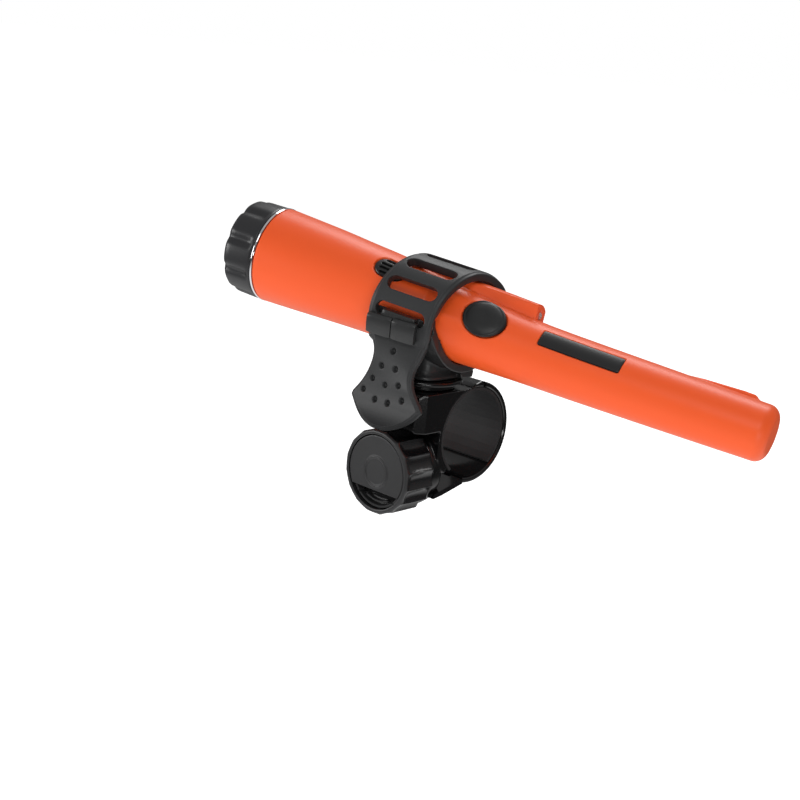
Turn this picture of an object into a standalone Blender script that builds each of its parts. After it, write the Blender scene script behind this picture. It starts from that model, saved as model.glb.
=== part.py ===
"""Pinpointer probe in its strap holder.

A hand-held metal-detecting pinpointer: a tapered moulded housing with a screw
battery cap, a sealed power button, a lamp under a hood, a speaker behind a
slotted grille and a search coil in the tip.  It lies in a cradle, held by a
slotted rubber strap; the cradle turns on a band clamp that grips a pole.

Units are metres, +Z is up.  The origin is the middle of the liner's top land,
the flat that rests on the crown of the pole; the pole's axis lies POLE_R below
it.  +X runs along the pole towards the probe's tip.  -Y is the front, the side
of the dial knob and of the strap's pull tab.  Shapes are laid out in
millimetres: the probe, strap and cradle in the probe's own frame, the rest
about the pole's axis and moved down by POLE_R as they are made.
"""
import math

import bmesh
import bpy
from mathutils import Matrix, Vector

for old in list(bpy.data.objects):
    bpy.data.objects.remove(old, do_unlink=True)

MM = 0.001

# ---------------------------------------------------------------- shared dimensions
GAP = 0.3                      # clearance between neighbouring pieces
HAIR_BEVEL = 0.0001            # bevel too small to see, on the block and the cradle's foot
POLE_R = 17.0

# probe: station 0 is the shoulder where cap and housing meet, its X axis points to the tip
PROBE_YAW = 15.53              # degrees, the probe's heading against the pole
PROBE_DIP = 8.15               # degrees, nose down
PROBE_REF = (0.0, -17.17, 48.06)   # a point of the probe's axis over the swivel
PROBE_REF_T = 68.73            # its station

# swivel between cradle and clamp, upright on the clamp's block
SWIVEL_Y = -16.5
SCREW_R, SCREW_HOLE_R = 2.9, 3.3
SCREW_SIDES = 20

# ---------------------------------------------------------------- finishes
# name: (rgb, roughness, metallic, alpha)
FINISHES = {
    "orange": ((0.85, 0.10, 0.012), 0.42, 0.0, 1.0),
    "cap_black": ((0.02, 0.02, 0.021), 0.38, 0.0, 1.0),
    "rubber": ((0.03, 0.031, 0.033), 0.62, 0.0, 1.0),
    "nylon": ((0.012, 0.012, 0.013), 0.3, 0.0, 1.0),
    "knob": ((0.02, 0.02, 0.021), 0.4, 0.0, 1.0),
    "chrome": ((0.8, 0.8, 0.82), 0.12, 1.0, 1.0),
    "steel": ((0.55, 0.55, 0.56), 0.3, 1.0, 1.0),
    "pcb": ((0.02, 0.16, 0.06), 0.5, 0.0, 1.0),
    "copper": ((0.72, 0.32, 0.14), 0.35, 1.0, 1.0),
    "ferrite": ((0.05, 0.05, 0.055), 0.7, 0.0, 1.0),
    "plate": ((0.012, 0.012, 0.013), 0.35, 0.0, 1.0),
    "lens": ((0.9, 0.92, 0.95), 0.08, 0.0, 0.5),
    "battery": ((0.06, 0.07, 0.09), 0.35, 0.0, 1.0),
    "tin": ((0.6, 0.6, 0.6), 0.35, 1.0, 1.0),
    "bobbin": ((0.75, 0.74, 0.7), 0.5, 0.0, 1.0),
    "wire_red": ((0.5, 0.02, 0.02), 0.45, 0.0, 1.0),
    "wire_black": ((0.02, 0.02, 0.02), 0.45, 0.0, 1.0),
    "foam": ((0.08, 0.08, 0.085), 0.9, 0.0, 1.0),
}
finish_of = {}                 # object name: finish, so that a tool takes its target's


def make_material(name, finish):
    rgb, roughness, metallic, alpha = FINISHES[finish]
    mat = bpy.data.materials.new(name)
    mat.use_nodes = True
    shader = mat.node_tree.nodes["Principled BSDF"]
    shader.inputs["Base Color"].default_value = (*rgb, 1.0)
    shader.inputs["Roughness"].default_value = roughness
    shader.inputs["Metallic"].default_value = metallic
    shader.inputs["Alpha"].default_value = alpha
    mat.diffuse_color = (*rgb, alpha)
    return mat


# ---------------------------------------------------------------- probe's frame
def make_frame(name, matrix):
    frame = bpy.data.objects.new(name, None)
    bpy.context.scene.collection.objects.link(frame)
    frame.matrix_world = matrix
    return frame


PROBE_ROT = (Matrix.Rotation(math.radians(PROBE_YAW), 4, "Z")
             @ Matrix.Rotation(math.radians(PROBE_DIP), 4, "Y"))
# station 0 of the probe's axis, about the pole's axis
PROBE_ORIGIN = Vector(PROBE_REF) - PROBE_ROT.to_3x3() @ Vector((PROBE_REF_T, 0, 0))
PROBE_FRAME = make_frame(
    "probe_frame", Matrix.Translation((PROBE_ORIGIN - Vector((0, 0, POLE_R))) * MM) @ PROBE_ROT)
bpy.context.view_layer.update()


# ---------------------------------------------------------------- objects and booleans
def add(name, bm, finish, parent=None, matrix=None, smooth=40.0):
    """Turn a bmesh in millimetres into a named object with its own material."""
    bmesh.ops.remove_doubles(bm, verts=bm.verts, dist=1e-4)
    bmesh.ops.recalc_face_normals(bm, faces=bm.faces)
    if parent is None:
        bmesh.ops.translate(bm, vec=(0, 0, -POLE_R), verts=bm.verts)
    bmesh.ops.scale(bm, vec=(MM, MM, MM), verts=bm.verts)
    mesh = bpy.data.meshes.new(name)
    bm.to_mesh(mesh)
    bm.free()
    ob = bpy.data.objects.new(name, mesh)
    bpy.context.scene.collection.objects.link(ob)
    mesh.materials.append(make_material(name + "_mat", finish))
    finish_of[name] = finish
    mesh.shade_smooth()
    mesh.set_sharp_from_angle(angle=math.radians(smooth))
    if parent is not None:
        ob.parent = parent
    if matrix is not None:
        ob.matrix_local = matrix
    return ob


def cut(target, name, bm, matrix=None, in_world=False, operation="DIFFERENCE"):
    """Add a hidden tool in the target's frame, or upright in the world, and apply it."""
    parent = None if in_world else target.parent
    tool = add(name, bm, finish_of[target.name], parent, matrix)
    mod = target.modifiers.new(operation.lower(), "BOOLEAN")
    mod.operation = operation
    mod.solver = "EXACT"
    mod.object = tool
    tool.hide_render = True
    tool.display_type = "WIRE"


def join(target, name, bm, matrix=None, in_world=False):
    cut(target, name, bm, matrix, in_world, operation="UNION")


# ---------------------------------------------------------------- outlines
def spread(start, end, steps):
    """Evenly spaced values from start to end, both included."""
    return [start + (end - start) * i / steps for i in range(steps + 1)]


def circle(r, sides, ca=0.0, cb=0.0):
    turns = [2 * math.pi * i / sides for i in range(sides)]
    return [(ca + r * math.cos(turn), cb + r * math.sin(turn)) for turn in turns]


def arc_points(r, start, end, steps):
    """Arc about the origin between two angles in degrees."""
    turns = [math.radians(angle) for angle in spread(start, end, steps)]
    return [(r * math.cos(turn), r * math.sin(turn)) for turn in turns]


def obround(length, width, steps=10):
    """Outline with two straight sides and round ends."""
    shift = length / 2 - width / 2
    return ([(x + shift, y) for x, y in arc_points(width / 2, -90, 90, steps)]
            + [(x - shift, y) for x, y in arc_points(width / 2, 90, 270, steps)])


def ring_x(x, points):
    return [(x, y, z) for y, z in points]


def ring_y(y, points):
    return [(x, y, z) for x, z in points]


def ring_z(z, points):
    return [(x, y, z) for x, y in points]


def direction(angle):
    """Unit (y, z) direction at an angle measured from the front (-Y) towards the top."""
    turn = math.radians(angle)
    return -math.cos(turn), math.sin(turn)


def polar(angle, r, cz=0.0, side=0.0):
    """(y, z) point at radius r about height cz, moved sideways by side."""
    y, z = direction(angle)
    return y * r + z * side, cz + z * r - y * side


def radial_frame(t, angle, r, cz):
    """Frame at a radius about the probe: X along the probe, Z straight outwards."""
    y, z = direction(angle)
    z_axis = Vector((0, y, z))
    x_axis = Vector((1, 0, 0))
    turn = Matrix((x_axis, z_axis.cross(x_axis), z_axis)).transposed().to_4x4()
    return Matrix.Translation(Vector((t, y * r, cz + z * r)) * MM) @ turn


# ---------------------------------------------------------------- solids
def loft(rings, closed=False):
    """Skin equal-length rings of points; cap the ends, or join last to first if closed."""
    bm = bmesh.new()
    loops = [[bm.verts.new(point) for point in ring] for ring in rings]
    sides = len(loops[0])
    pairs = list(zip(loops[:-1], loops[1:]))
    if closed:
        pairs.append((loops[-1], loops[0]))
    for one, two in pairs:
        for i in range(sides):
            j = (i + 1) % sides
            bm.faces.new((one[i], one[j], two[j], two[i]))
    if not closed:
        bm.faces.new(loops[0])
        bm.faces.new(list(reversed(loops[-1])))
    return bm


def prism(ring, outline, start, end):
    """Extrude an outline along the axis of ring_x, ring_y or ring_z."""
    return loft([ring(start, outline), ring(end, outline)])


def turned(ring, profile, sides, ca=0.0, cb=0.0, closed=False):
    """Solid of revolution from (place on the axis, radius) pairs, axis through (ca, cb)."""
    return loft([ring(at, circle(r, sides, ca, cb)) for at, r in profile], closed)


def rod(ring, start, end, r, sides, ca=0.0, cb=0.0):
    return turned(ring, [(start, r), (end, r)], sides, ca, cb)


def tube(ring, outer, inner, sides, ca=0.0, cb=0.0):
    """Hollow turned solid from an outer and an inner profile."""
    return turned(ring, outer + inner[::-1], sides, ca, cb, closed=True)


def sleeve(ring, start, end, r_out, r_in, sides, ca=0.0, cb=0.0):
    """Plain tube of square section."""
    outer = [(start, r_out), (end, r_out)]
    inner = [(start, r_in), (end, r_in)]
    return tube(ring, outer, inner, sides, ca, cb)


def box(x0, x1, y0, y1, z0, z1):
    bm = bmesh.new()
    bmesh.ops.create_cube(bm, size=1.0)
    bmesh.ops.scale(bm, vec=(x1 - x0, y1 - y0, z1 - z0), verts=bm.verts)
    centre = ((x0 + x1) / 2, (y0 + y1) / 2, (z0 + z1) / 2)
    bmesh.ops.translate(bm, vec=centre, verts=bm.verts)
    return bm


def bevel(bm, edges, width, segments=1):
    bmesh.ops.bevel(bm, geom=edges, offset=width, segments=segments, affect="EDGES", profile=0.5)
    return bm


def bevelled(bm, width):
    """Chamfer every edge sharper than 30 degrees."""
    edges = [edge for edge in bm.edges
             if len(edge.link_faces) == 2 and edge.calc_face_angle() > math.radians(30.0)]
    return bevel(bm, edges, width)


# ================================================================ housing
# station, radius, centre height of the housing's round sections
PROFILE = [
    (0.0, 18.9, 0.0), (14, 18.35, -0.1), (28, 17.65, -0.2), (39, 17.0, -0.4),
    (50, 16.45, -0.6), (60, 15.85, -1.05), (70, 15.15, -1.55), (80, 14.4, -2.1),
    (90, 13.55, -2.55), (100, 12.7, -2.95), (110, 12.05, -3.25), (122, 11.7, -3.4),
    (140, 11.4, -3.35), (160, 11.05, -3.2), (180, 10.65, -3.05), (198, 10.35, -2.9),
]
HOUSING_SIDES = 40
TIP_T = 206.0
TIP_ROUND, TIP_STEPS = 4.0, 4
WALL = 1.8
NECK_T, NECK_R, NECK_CHAMFER = -10.0, 16.9, 0.5
# battery bay's sections: station, radius, centre height
BATTERY_BAY = [(NECK_T - 1.0, 15.4, 0.0), (38.5, 15.25, -0.3)]
CORE_STATIONS = (50, 60, 70, 80, 90, 100, 110, 122, 140, 160, 180, 196)

HOOD_ANGLE, HOOD_END_T = 107.0, 111.5
HOOD_HALF, HOOD_FOOT, HOOD_SHOULDER = 22.0, 3.0, 4.5   # degrees round the probe
HOOD_CROWN = [(56, 16.2), (66, 17.25), (78, 17.5), (90, 17.6), (100, 17.65),
              (HOOD_END_T - 1.2, 17.6)]      # station, crown radius
HOOD_END_CROWN = 17.5
HOOD_END_LEAN, HOOD_END_SHIFT = 0.32, 1.6

FIN_ANGLE, FIN_HALF_WIDTH = 106.0, 0.9
FIN_HEIGHTS = [(171, -0.4), (176, 0.55), (192, 1.35), (195.5, 1.25), (197.0, 0.2)]


def section(t):
    """Radius and centre height of the housing at a station."""
    for (t0, r0, c0), (t1, r1, c1) in zip(PROFILE[:-1], PROFILE[1:]):
        if t <= t1:
            k = max(0.0, (t - t0) / (t1 - t0))
            return r0 + k * (r1 - r0), c0 + k * (c1 - c0)
    return PROFILE[-1][1:]


def skin_frame(t, angle):
    """Frame on the housing's skin."""
    return radial_frame(t, angle, *section(t))


BUTTON_T, BUTTON_ANGLE, BUTTON_R = 96.3, 41.0, 7.3
BUTTON_LONG, BUTTON_WIDE = 1.10, 0.975   # stretch along the probe, squeeze round it
BUTTON_STEM_R = BUTTON_R - 2.5
BUTTON_HOLE_R = BUTTON_R - 1.9
BUTTON_LIFT = 0.75
BUTTON_SIDES = 28
BUTTON_FRAME = skin_frame(BUTTON_T, BUTTON_ANGLE)
PAD_PROFILE = [(-5.0, 11.6), (-1.6, 11.2), (0.7, 10.0)]                # height, radius
DISH_PROFILE = [(-0.5, 8.0), (-0.2, 8.2), (0.75, 9.0), (3.0, 9.2)]     # height, radius
DISH_STRETCH = 1.08            # along the probe

GRILLE_ANGLE, GRILLE_T0, GRILLE_T1, GRILLE_W = 52.5, 48.2, 62.0, 8.6
GRILLE_LENGTH = GRILLE_T1 - GRILLE_T0
GRILLE_FRAME = skin_frame((GRILLE_T0 + GRILLE_T1) / 2, GRILLE_ANGLE)

PLATE_ANGLE, PLATE_T0, PLATE_T1, PLATE_W = 50.0, 118.5, 150.0, 6.9
PLATE_MID_T = (PLATE_T0 + PLATE_T1) / 2
PLATE_FRAME = skin_frame(PLATE_MID_T, PLATE_ANGLE)

LAMP_RADIUS = 13.9             # lamp axis, from the centre of the hood's end section
LAMP_BORE_R, LAMP_WAY_R = 1.95, 1.5
LAMP_CENTRE_Z = section(HOOD_END_T)[1]
LAMP_Y, LAMP_Z = polar(HOOD_ANGLE, LAMP_RADIUS, LAMP_CENTRE_Z)


def housing_outer():
    def ring(t, r, cz=0.0):
        return ring_x(t, circle(r, HOUSING_SIDES, 0.0, cz))

    rings = [ring(NECK_T, NECK_R - NECK_CHAMFER), ring(NECK_T + NECK_CHAMFER, NECK_R),
             ring(0.0, NECK_R)]
    rings += [ring(*row) for row in PROFILE]
    tip_r, tip_z = section(TIP_T)
    for step in range(1, TIP_STEPS + 1):
        turn = math.radians(90.0 * step / TIP_STEPS)
        rings.append(ring(TIP_T - TIP_ROUND + TIP_ROUND * math.sin(turn),
                          tip_r - TIP_ROUND * (1 - math.cos(turn)), tip_z))
    return loft(rings)


def housing_core():
    """The hollow: battery bay, electronics bay, then the coil bore down the nose."""
    rows = list(BATTERY_BAY)
    for t in CORE_STATIONS:
        r, cz = section(t)
        rows.append((t, r - WALL, cz))
    return loft([ring_x(t, circle(r, HOUSING_SIDES, 0.0, cz)) for t, r, cz in rows])


def hood_ring(t, crown):
    """Ridge section with a crown at the given radius, rooted inside the skin."""
    r, cz = section(t)
    shoulder = HOOD_HALF - HOOD_SHOULDER
    points = [
        (-HOOD_HALF - HOOD_FOOT, r - 1.0), (-HOOD_HALF, crown - 1.6), (-shoulder, crown - 0.35),
        (0, crown),
        (shoulder, crown - 0.35), (HOOD_HALF, crown - 1.6), (HOOD_HALF + HOOD_FOOT, r - 1.0),
        (0, r - 5),
    ]
    return ring_x(t, [polar(HOOD_ANGLE + angle, radius, cz) for angle, radius in points])


def hood_ridge():
    """Ridge over the lamp; its end face leans back, crown behind foot."""
    rings = [hood_ring(t, crown) for t, crown in HOOD_CROWN]
    r, cz = section(HOOD_END_T)
    foot_t = HOOD_END_T + HOOD_END_SHIFT
    rings.append([(foot_t - HOOD_END_LEAN * (math.hypot(y, z - cz) - r + 1.0), y, z)
                  for _, y, z in hood_ring(HOOD_END_T, HOOD_END_CROWN)])
    return loft(rings)


def fin_ring(t, height):
    r, cz = section(t)
    # side in half widths, height over the skin
    points = [(-1, -1.2), (-1, height - 0.3), (-0.6, height), (0.6, height), (1, height - 0.3),
              (1, -1.2)]
    return ring_x(t, [polar(FIN_ANGLE, r + rise, cz, side * FIN_HALF_WIDTH)
                      for side, rise in points])


def lamp_wire_way():
    """Hole from the lamp bore down into the electronics bay."""
    return loft([[(98.6 + x, *polar(HOOD_ANGLE, radius, LAMP_CENTRE_Z, side))
                  for x, side in circle(LAMP_WAY_R, 14)]
                 for radius in (7.0, LAMP_RADIUS + 0.2)])


def build_housing():
    housing = add("housing", housing_outer(), "orange", PROBE_FRAME)
    join(housing, "hood_cut", hood_ridge())
    # raised pad around the button, with a shallow dish in it
    join(housing, "button_pad_cut", turned(ring_z, PAD_PROFILE, BUTTON_SIDES), BUTTON_FRAME)
    dish = loft([ring_z(z, [(x * DISH_STRETCH, y) for x, y in circle(r, BUTTON_SIDES)])
                 for z, r in DISH_PROFILE])
    cut(housing, "button_dish_cut", dish, BUTTON_FRAME)
    cut(housing, "core_cut", housing_core())
    cut(housing, "button_hole_cut", rod(ring_z, -8.0, 3.0, BUTTON_HOLE_R, 24), BUTTON_FRAME)
    # low fin along the top of the nose
    join(housing, "fin_cut", loft([fin_ring(t, height) for t, height in FIN_HEIGHTS]))
    # seats for the speaker grille, the name plate and the lamp
    grille_seat = obround(GRILLE_LENGTH + 2 * GAP, GRILLE_W + 2 * GAP)
    cut(housing, "grille_seat_cut", prism(ring_z, grille_seat, -4.5, 2.0), GRILLE_FRAME)
    half_length = (PLATE_T1 - PLATE_T0) / 2 + GAP
    half_width = PLATE_W / 2 + GAP
    plate_seat = box(-half_length, half_length, -half_width, half_width, -0.95, 3.0)
    cut(housing, "plate_seat_cut", plate_seat, PLATE_FRAME)
    cut(housing, "lamp_bore_cut",
        rod(ring_x, 98.0, HOOD_END_T + 4.0, LAMP_BORE_R, 16, LAMP_Y, LAMP_Z))
    cut(housing, "lamp_wire_way_cut", lamp_wire_way())
    # groove of the neck for the sealing ring
    cut(housing, "neck_groove_cut", sleeve(ring_x, -3.6, -1.6, 19.0, 16.05, 36))


# ================================================================ battery cap and battery
CAP_T = -15.8
CAP_R, CAP_BORE_R = 19.0, 17.2
CAP_GROOVES, CAP_GROOVE_ANGLE = 9, 17.0
CAP_SIDES = 72
# station, radius, groove depth: from the end face over the outside and back up the bore
CAP_RINGS = [
    (CAP_T, CAP_R - 3.2, 0.2), (-14.9, CAP_R - 1.3, 0.7), (-13.2, CAP_R - 0.3, 1.1),
    (-3.8, CAP_R, 1.1), (-2.4, CAP_R, 0.1), (-1.8, CAP_R, 0.0), (-1.3, CAP_R - 0.3, 0.0),
    (-1.3, CAP_BORE_R, 0.0), (-13.0, CAP_BORE_R, 0.0), (-13.6, CAP_BORE_R - 0.6, 0.0),
]
BATTERY_T0, BATTERY_T1 = -10.1, 38.3
BATTERY_HALF_W, BATTERY_HALF_H, BATTERY_ROUND = 13.2, 8.7, 2.6


def cap_ring(t, r, depth):
    """Round ring with evenly spaced shallow grooves of the given depth."""
    points = []
    for i in range(CAP_SIDES):
        turn = 2 * math.pi * i / CAP_SIDES
        wave = math.cos(CAP_GROOVES * (turn - math.radians(180 - CAP_GROOVE_ANGLE)))
        groove_r = r - depth * (0.5 + 0.5 * wave) ** 4
        points.append((math.cos(turn) * groove_r, math.sin(turn) * groove_r))
    return ring_x(t, points)


def build_cap():
    cap = loft([cap_ring(*row) for row in CAP_RINGS])
    add("battery_cap", cap, "cap_black", PROBE_FRAME, smooth=35)
    add("trim_ring", sleeve(ring_x, -1.0, -0.3, 19.05, 17.25, 48), "chrome", PROBE_FRAME)
    seal_outer = [(-3.3, 16.6), (-2.9, 16.95), (-2.3, 16.95), (-1.9, 16.6)]
    seal_inner = [(-3.3, 16.35), (-1.9, 16.35)]
    add("cap_o_ring", tube(ring_x, seal_outer, seal_inner, 36), "rubber", PROBE_FRAME)
    # foam disc between the cap's floor and the battery
    add("battery_pad", rod(ring_x, -13.2, -10.4, 10.5, 20), "foam", PROBE_FRAME)


def build_battery():
    body = box(BATTERY_T0, BATTERY_T1, -BATTERY_HALF_W, BATTERY_HALF_W,
               -BATTERY_HALF_H, BATTERY_HALF_H)
    long_edges = [edge for edge in body.edges
                  if abs((edge.verts[0].co - edge.verts[1].co).normalized().x) > 0.9]
    bevel(body, long_edges, BATTERY_ROUND, segments=3)
    add("battery_9v", body, "battery", PROBE_FRAME)
    for name, y, r in (("battery_stud_plus", -6.35, 2.6), ("battery_stud_minus", 6.35, 3.2)):
        stud = turned(ring_x, [(38.6, r), (40.8, r), (41.2, r - 0.4)], 16, y)
        add(name, stud, "tin", PROBE_FRAME)
    snap_plate = rod(ring_x, 41.5, 43.1, 12.9, 32, 0.0, -0.45)
    add("battery_snap_plate", snap_plate, "plate", PROBE_FRAME)


# ================================================================ electronics
MOTOR_Z, MOTOR_R = -3.9, 3.0
# height, radius of the button from its stem's foot to its dome
BUTTON_PROFILE = [
    (-5.6, BUTTON_STEM_R), (0.15, BUTTON_STEM_R), (0.15, BUTTON_R), (1.3, BUTTON_R),
    (1.9, BUTTON_R - 0.55), (2.6, BUTTON_R - 2.2), (3.0, BUTTON_R - 4.6),
]
BUTTON_ROUND_BELOW = BUTTON_R - 2.4      # rings up to this radius aren't stretched lengthwise
GRILLE_SLOTS = [(-3.0, 0.0), (-1.0, 1.2), (1.0, 1.2), (3.0, 0.0)]   # place across, extra length


def build_circuit_board():
    board = box(46.0, 112.0, -7.6, 7.6, -9.2, -7.6)
    add("main_circuit_board", board, "pcb", PROBE_FRAME)
    chip = bevelled(box(70, 79, -4.5, 4.5, -7.3, -6.0), 0.2)
    add("processor_chip", chip, "ferrite", PROBE_FRAME)
    capacitor = rod(ring_x, 60.0, 66.5, 2.4, 16, 0.0, -4.6)
    add("filter_capacitor", capacitor, "plate", PROBE_FRAME)


def build_vibration_motor():
    motor = rod(ring_x, 83.0, 91.5, MOTOR_R, 20, 0.0, MOTOR_Z)
    add("vibration_motor", motor, "steel", PROBE_FRAME)
    # eccentric weight: a half disc with a small hub on top
    outline = [(y, MOTOR_Z + z) for y, z in arc_points(MOTOR_R, 180, 360, 9)]
    outline += [(0.9, MOTOR_Z), (0.5, -3.2), (-0.5, -3.2), (-0.9, MOTOR_Z)]
    add("vibration_weight", prism(ring_x, outline, 92.0, 94.6), "steel", PROBE_FRAME)


def build_power_button():
    """Domed oval sealing cap on a stem, and the switch beneath it."""
    rings = []
    for z, r in BUTTON_PROFILE:
        stretch = BUTTON_LONG if r > BUTTON_ROUND_BELOW else 1.0
        points = [(x * stretch, y * BUTTON_WIDE) for x, y in circle(r, BUTTON_SIDES)]
        rings.append(ring_z(z + BUTTON_LIFT, points))
    add("power_button", loft(rings), "rubber", PROBE_FRAME, BUTTON_FRAME)
    switch = bevelled(box(-3.0, 3.0, -3.0, 3.0, -8.6, -6.6), 0.3)
    add("button_switch", switch, "plate", PROBE_FRAME, BUTTON_FRAME)


def build_speaker():
    face = prism(ring_z, obround(GRILLE_LENGTH, GRILLE_W), -1.6, 0.35)
    grille = add("speaker_grille", face, "plate", PROBE_FRAME, GRILLE_FRAME)
    for i, (across, extra) in enumerate(GRILLE_SLOTS):
        slot = prism(ring_z, obround(GRILLE_LENGTH - 6.5 + extra, 0.9, 5), -3.0, 2.0)
        place = GRILLE_FRAME @ Matrix.Translation((0, across * MM, 0))
        cut(grille, f"grille_slot_{i}_cut", slot, place)
    speaker = turned(ring_z, [(-6.6, 6.2), (-6.2, 7.0), (-4.9, 7.0), (-4.6, 6.4)], 28)
    add("speaker", speaker, "tin", PROBE_FRAME, GRILLE_FRAME)


def build_lamp():
    """Lamp and its lens at the end of the hood."""
    for name, profile in (
        ("lamp_led", [(100.5, 1.6), (107.0, 1.6), (108.0, 1.2), (108.5, 0.6)]),
        ("lamp_lens", [(109.2, 1.62), (111.2, 1.62), (111.6, 1.2)]),
    ):
        add(name, turned(ring_x, profile, 16, LAMP_Y, LAMP_Z), "lens", PROBE_FRAME)


# ---------------------------------------------------------------- search coil in the nose
ROD_R, COIL_BORE_R, COIL_R, BOBBIN_R = 4.0, 4.35, 6.2, 7.4
COIL_T0, COIL_T1, COIL_RIBS, COIL_RIB_DEPTH = 131.0, 177.5, 7, 0.35
COIL_Z = section(160)[1]


def coil_winding():
    """Sleeve whose outside swells once per rib."""
    step = (COIL_T1 - COIL_T0) / COIL_RIBS
    outer = []
    for i in range(COIL_RIBS):
        outer.append((COIL_T0 + step * (i + 0.08), COIL_R - COIL_RIB_DEPTH))
        outer.append((COIL_T0 + step * (i + 0.5), COIL_R))
    outer.append((COIL_T1, COIL_R - COIL_RIB_DEPTH))
    inner = [(COIL_T0 + step * 0.08, COIL_BORE_R), (COIL_T1, COIL_BORE_R)]
    return tube(ring_x, outer, inner, 20, 0.0, COIL_Z)


def build_search_coil():
    core = rod(ring_x, 126.5, 190.0, ROD_R, 24, 0.0, COIL_Z)
    add("ferrite_rod", core, "ferrite", PROBE_FRAME)
    for name, start in (("coil_bobbin_rear", 128.0), ("coil_bobbin_front", 178.0)):
        flange = sleeve(ring_x, start, start + 2.5, BOBBIN_R, COIL_BORE_R, 28, 0.0, COIL_Z)
        add(name, flange, "bobbin", PROBE_FRAME)
    add("search_coil", coil_winding(), "copper", PROBE_FRAME)


# ---------------------------------------------------------------- wires
# name, radius, finish, points along the wire
WIRES = [
    ("battery_wire_red", 0.55, "wire_red",
     [(43.7, -3.0, -3.5), (46.5, -3.5, -4.5), (50.5, -4.0, -6.0), (53.0, -4.0, -6.9)]),
    ("battery_wire_black", 0.55, "wire_black",
     [(43.7, 3.0, -3.5), (46.5, 3.5, -4.5), (50.5, 4.0, -6.0), (53.0, 4.0, -6.9)]),
    ("speaker_wire", 0.45, "wire_black",
     [(57.0, -1.5, 0.8), (58.0, -0.5, -2.5), (58.5, 1.0, -5.0), (57.0, 2.0, -6.9)]),
    ("coil_lead", 0.45, "copper",
     [(109.0, 0.0, -6.8), (114.0, 0.0, -5.6), (120.0, 0.5, -4.2), (126.0, 0.3, -3.3)]),
    ("lamp_wire", 0.45, "wire_red",
     [(100.0, LAMP_Y, LAMP_Z), (98.7, LAMP_Y - 0.5, LAMP_Z - 1.6),
      (98.5, LAMP_Y - 1.6, LAMP_Z - 5.5), (98.6, 1.2, -1.0), (99.0, 0.0, -6.9)]),
]


def build_wire(name, radius, finish, points):
    """Round closed wire along a smooth curve, turned into a mesh."""
    curve = bpy.data.curves.new(name, "CURVE")
    curve.dimensions = "3D"
    curve.bevel_depth = radius * MM
    curve.bevel_resolution = 1
    curve.resolution_u = 4
    curve.use_fill_caps = True
    spline = curve.splines.new("BEZIER")
    spline.bezier_points.add(len(points) - 1)
    for knot, point in zip(spline.bezier_points, points):
        knot.co = Vector(point) * MM
        knot.handle_left_type = knot.handle_right_type = "AUTO"
    carrier = bpy.data.objects.new(name + "_curve", curve)
    bpy.context.scene.collection.objects.link(carrier)
    depsgraph = bpy.context.evaluated_depsgraph_get()
    mesh = bpy.data.meshes.new_from_object(carrier.evaluated_get(depsgraph))
    bpy.data.objects.remove(carrier, do_unlink=True)
    bm = bmesh.new()
    bm.from_mesh(mesh)
    bmesh.ops.scale(bm, vec=(1 / MM, 1 / MM, 1 / MM), verts=bm.verts)
    add(name, bm, finish, PROBE_FRAME)


# ---------------------------------------------------------------- name plate
def plate_ring(t):
    """Section of the plate: curved outside, flat underside."""
    r, cz = section(t)
    half = PLATE_W / 2
    points = [polar(PLATE_ANGLE + math.degrees(along / r), r + 0.2, cz)
              for along in spread(-half, half, 8)]
    points += [polar(PLATE_ANGLE, r - 0.62, cz, side) for side in (half - 0.1, 0.1 - half)]
    return ring_x(t, points)


def build_name_plate():
    """Blank curved strip let into its seat."""
    plate = loft([plate_ring(t) for t in (PLATE_T0, PLATE_MID_T, PLATE_T1)])
    add("name_plate", plate, "plate", PROBE_FRAME)


# ================================================================ strap
LOOP_Z = -1.3                  # strap loop's centre below the probe's axis
STRAP_RO, STRAP_RI = 20.7, 18.5
STRAP_MID_R = (STRAP_RO + STRAP_RI) / 2
STRAP_SWELL = 0.85             # extra thickness over the probe
STRAP_T, STRAP_DRIFT = 67.8, 8.2    # centre station at the front, drift towards the back
STRAP_START, STRAP_END = -29.0, 196.0
STRAP_HALF, STRAP_END_HALF = 13.4, 9.3
SLOT_HALF, SLOT_COUNT = 10.2, 5
SLOT_PITCH, SLOT_FIRST, SLOT_SPAN = 30.0, 2.0, 17.5   # degrees round the loop


def loop_point(t, r, angle):
    """Point about the strap loop's centre."""
    return (t, *polar(angle, r, LOOP_Z))


def loop_prism(t0, t1, outline):
    """Extrude an outline of (radius, angle) pairs along the probe."""
    return loft([[loop_point(t, r, angle) for r, angle in outline] for t in (t0, t1)])


def ease(value):
    """Smooth rise from 0 to 1 as value goes from 0 to 1."""
    k = min(max(value, 0.0), 1.0)
    return k * k * (3 - 2 * k)


def strap_centre(angle):
    """Station of the strap's middle, drifting towards the tip behind the probe."""
    return STRAP_T + STRAP_DRIFT * ease(angle / 140.0)


def strap_ring(angle):
    """Section: thinner and narrower where it is hooked and where it is anchored."""
    inner = STRAP_RI - STRAP_SWELL * ease((angle - 5.0) / 9.0) * (1 - ease((angle - 150.0) / 20.0))
    taper = max(0.0, angle - 152) * 0.12 + max(0.0, -15.0 - angle) * 0.07
    half = max(STRAP_END_HALF, STRAP_HALF - taper)
    centre = strap_centre(angle)
    corners = ((-half, inner), (-half, STRAP_RO), (half, STRAP_RO), (half, inner))
    return [loop_point(centre + along, r, angle) for along, r in corners]


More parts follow.
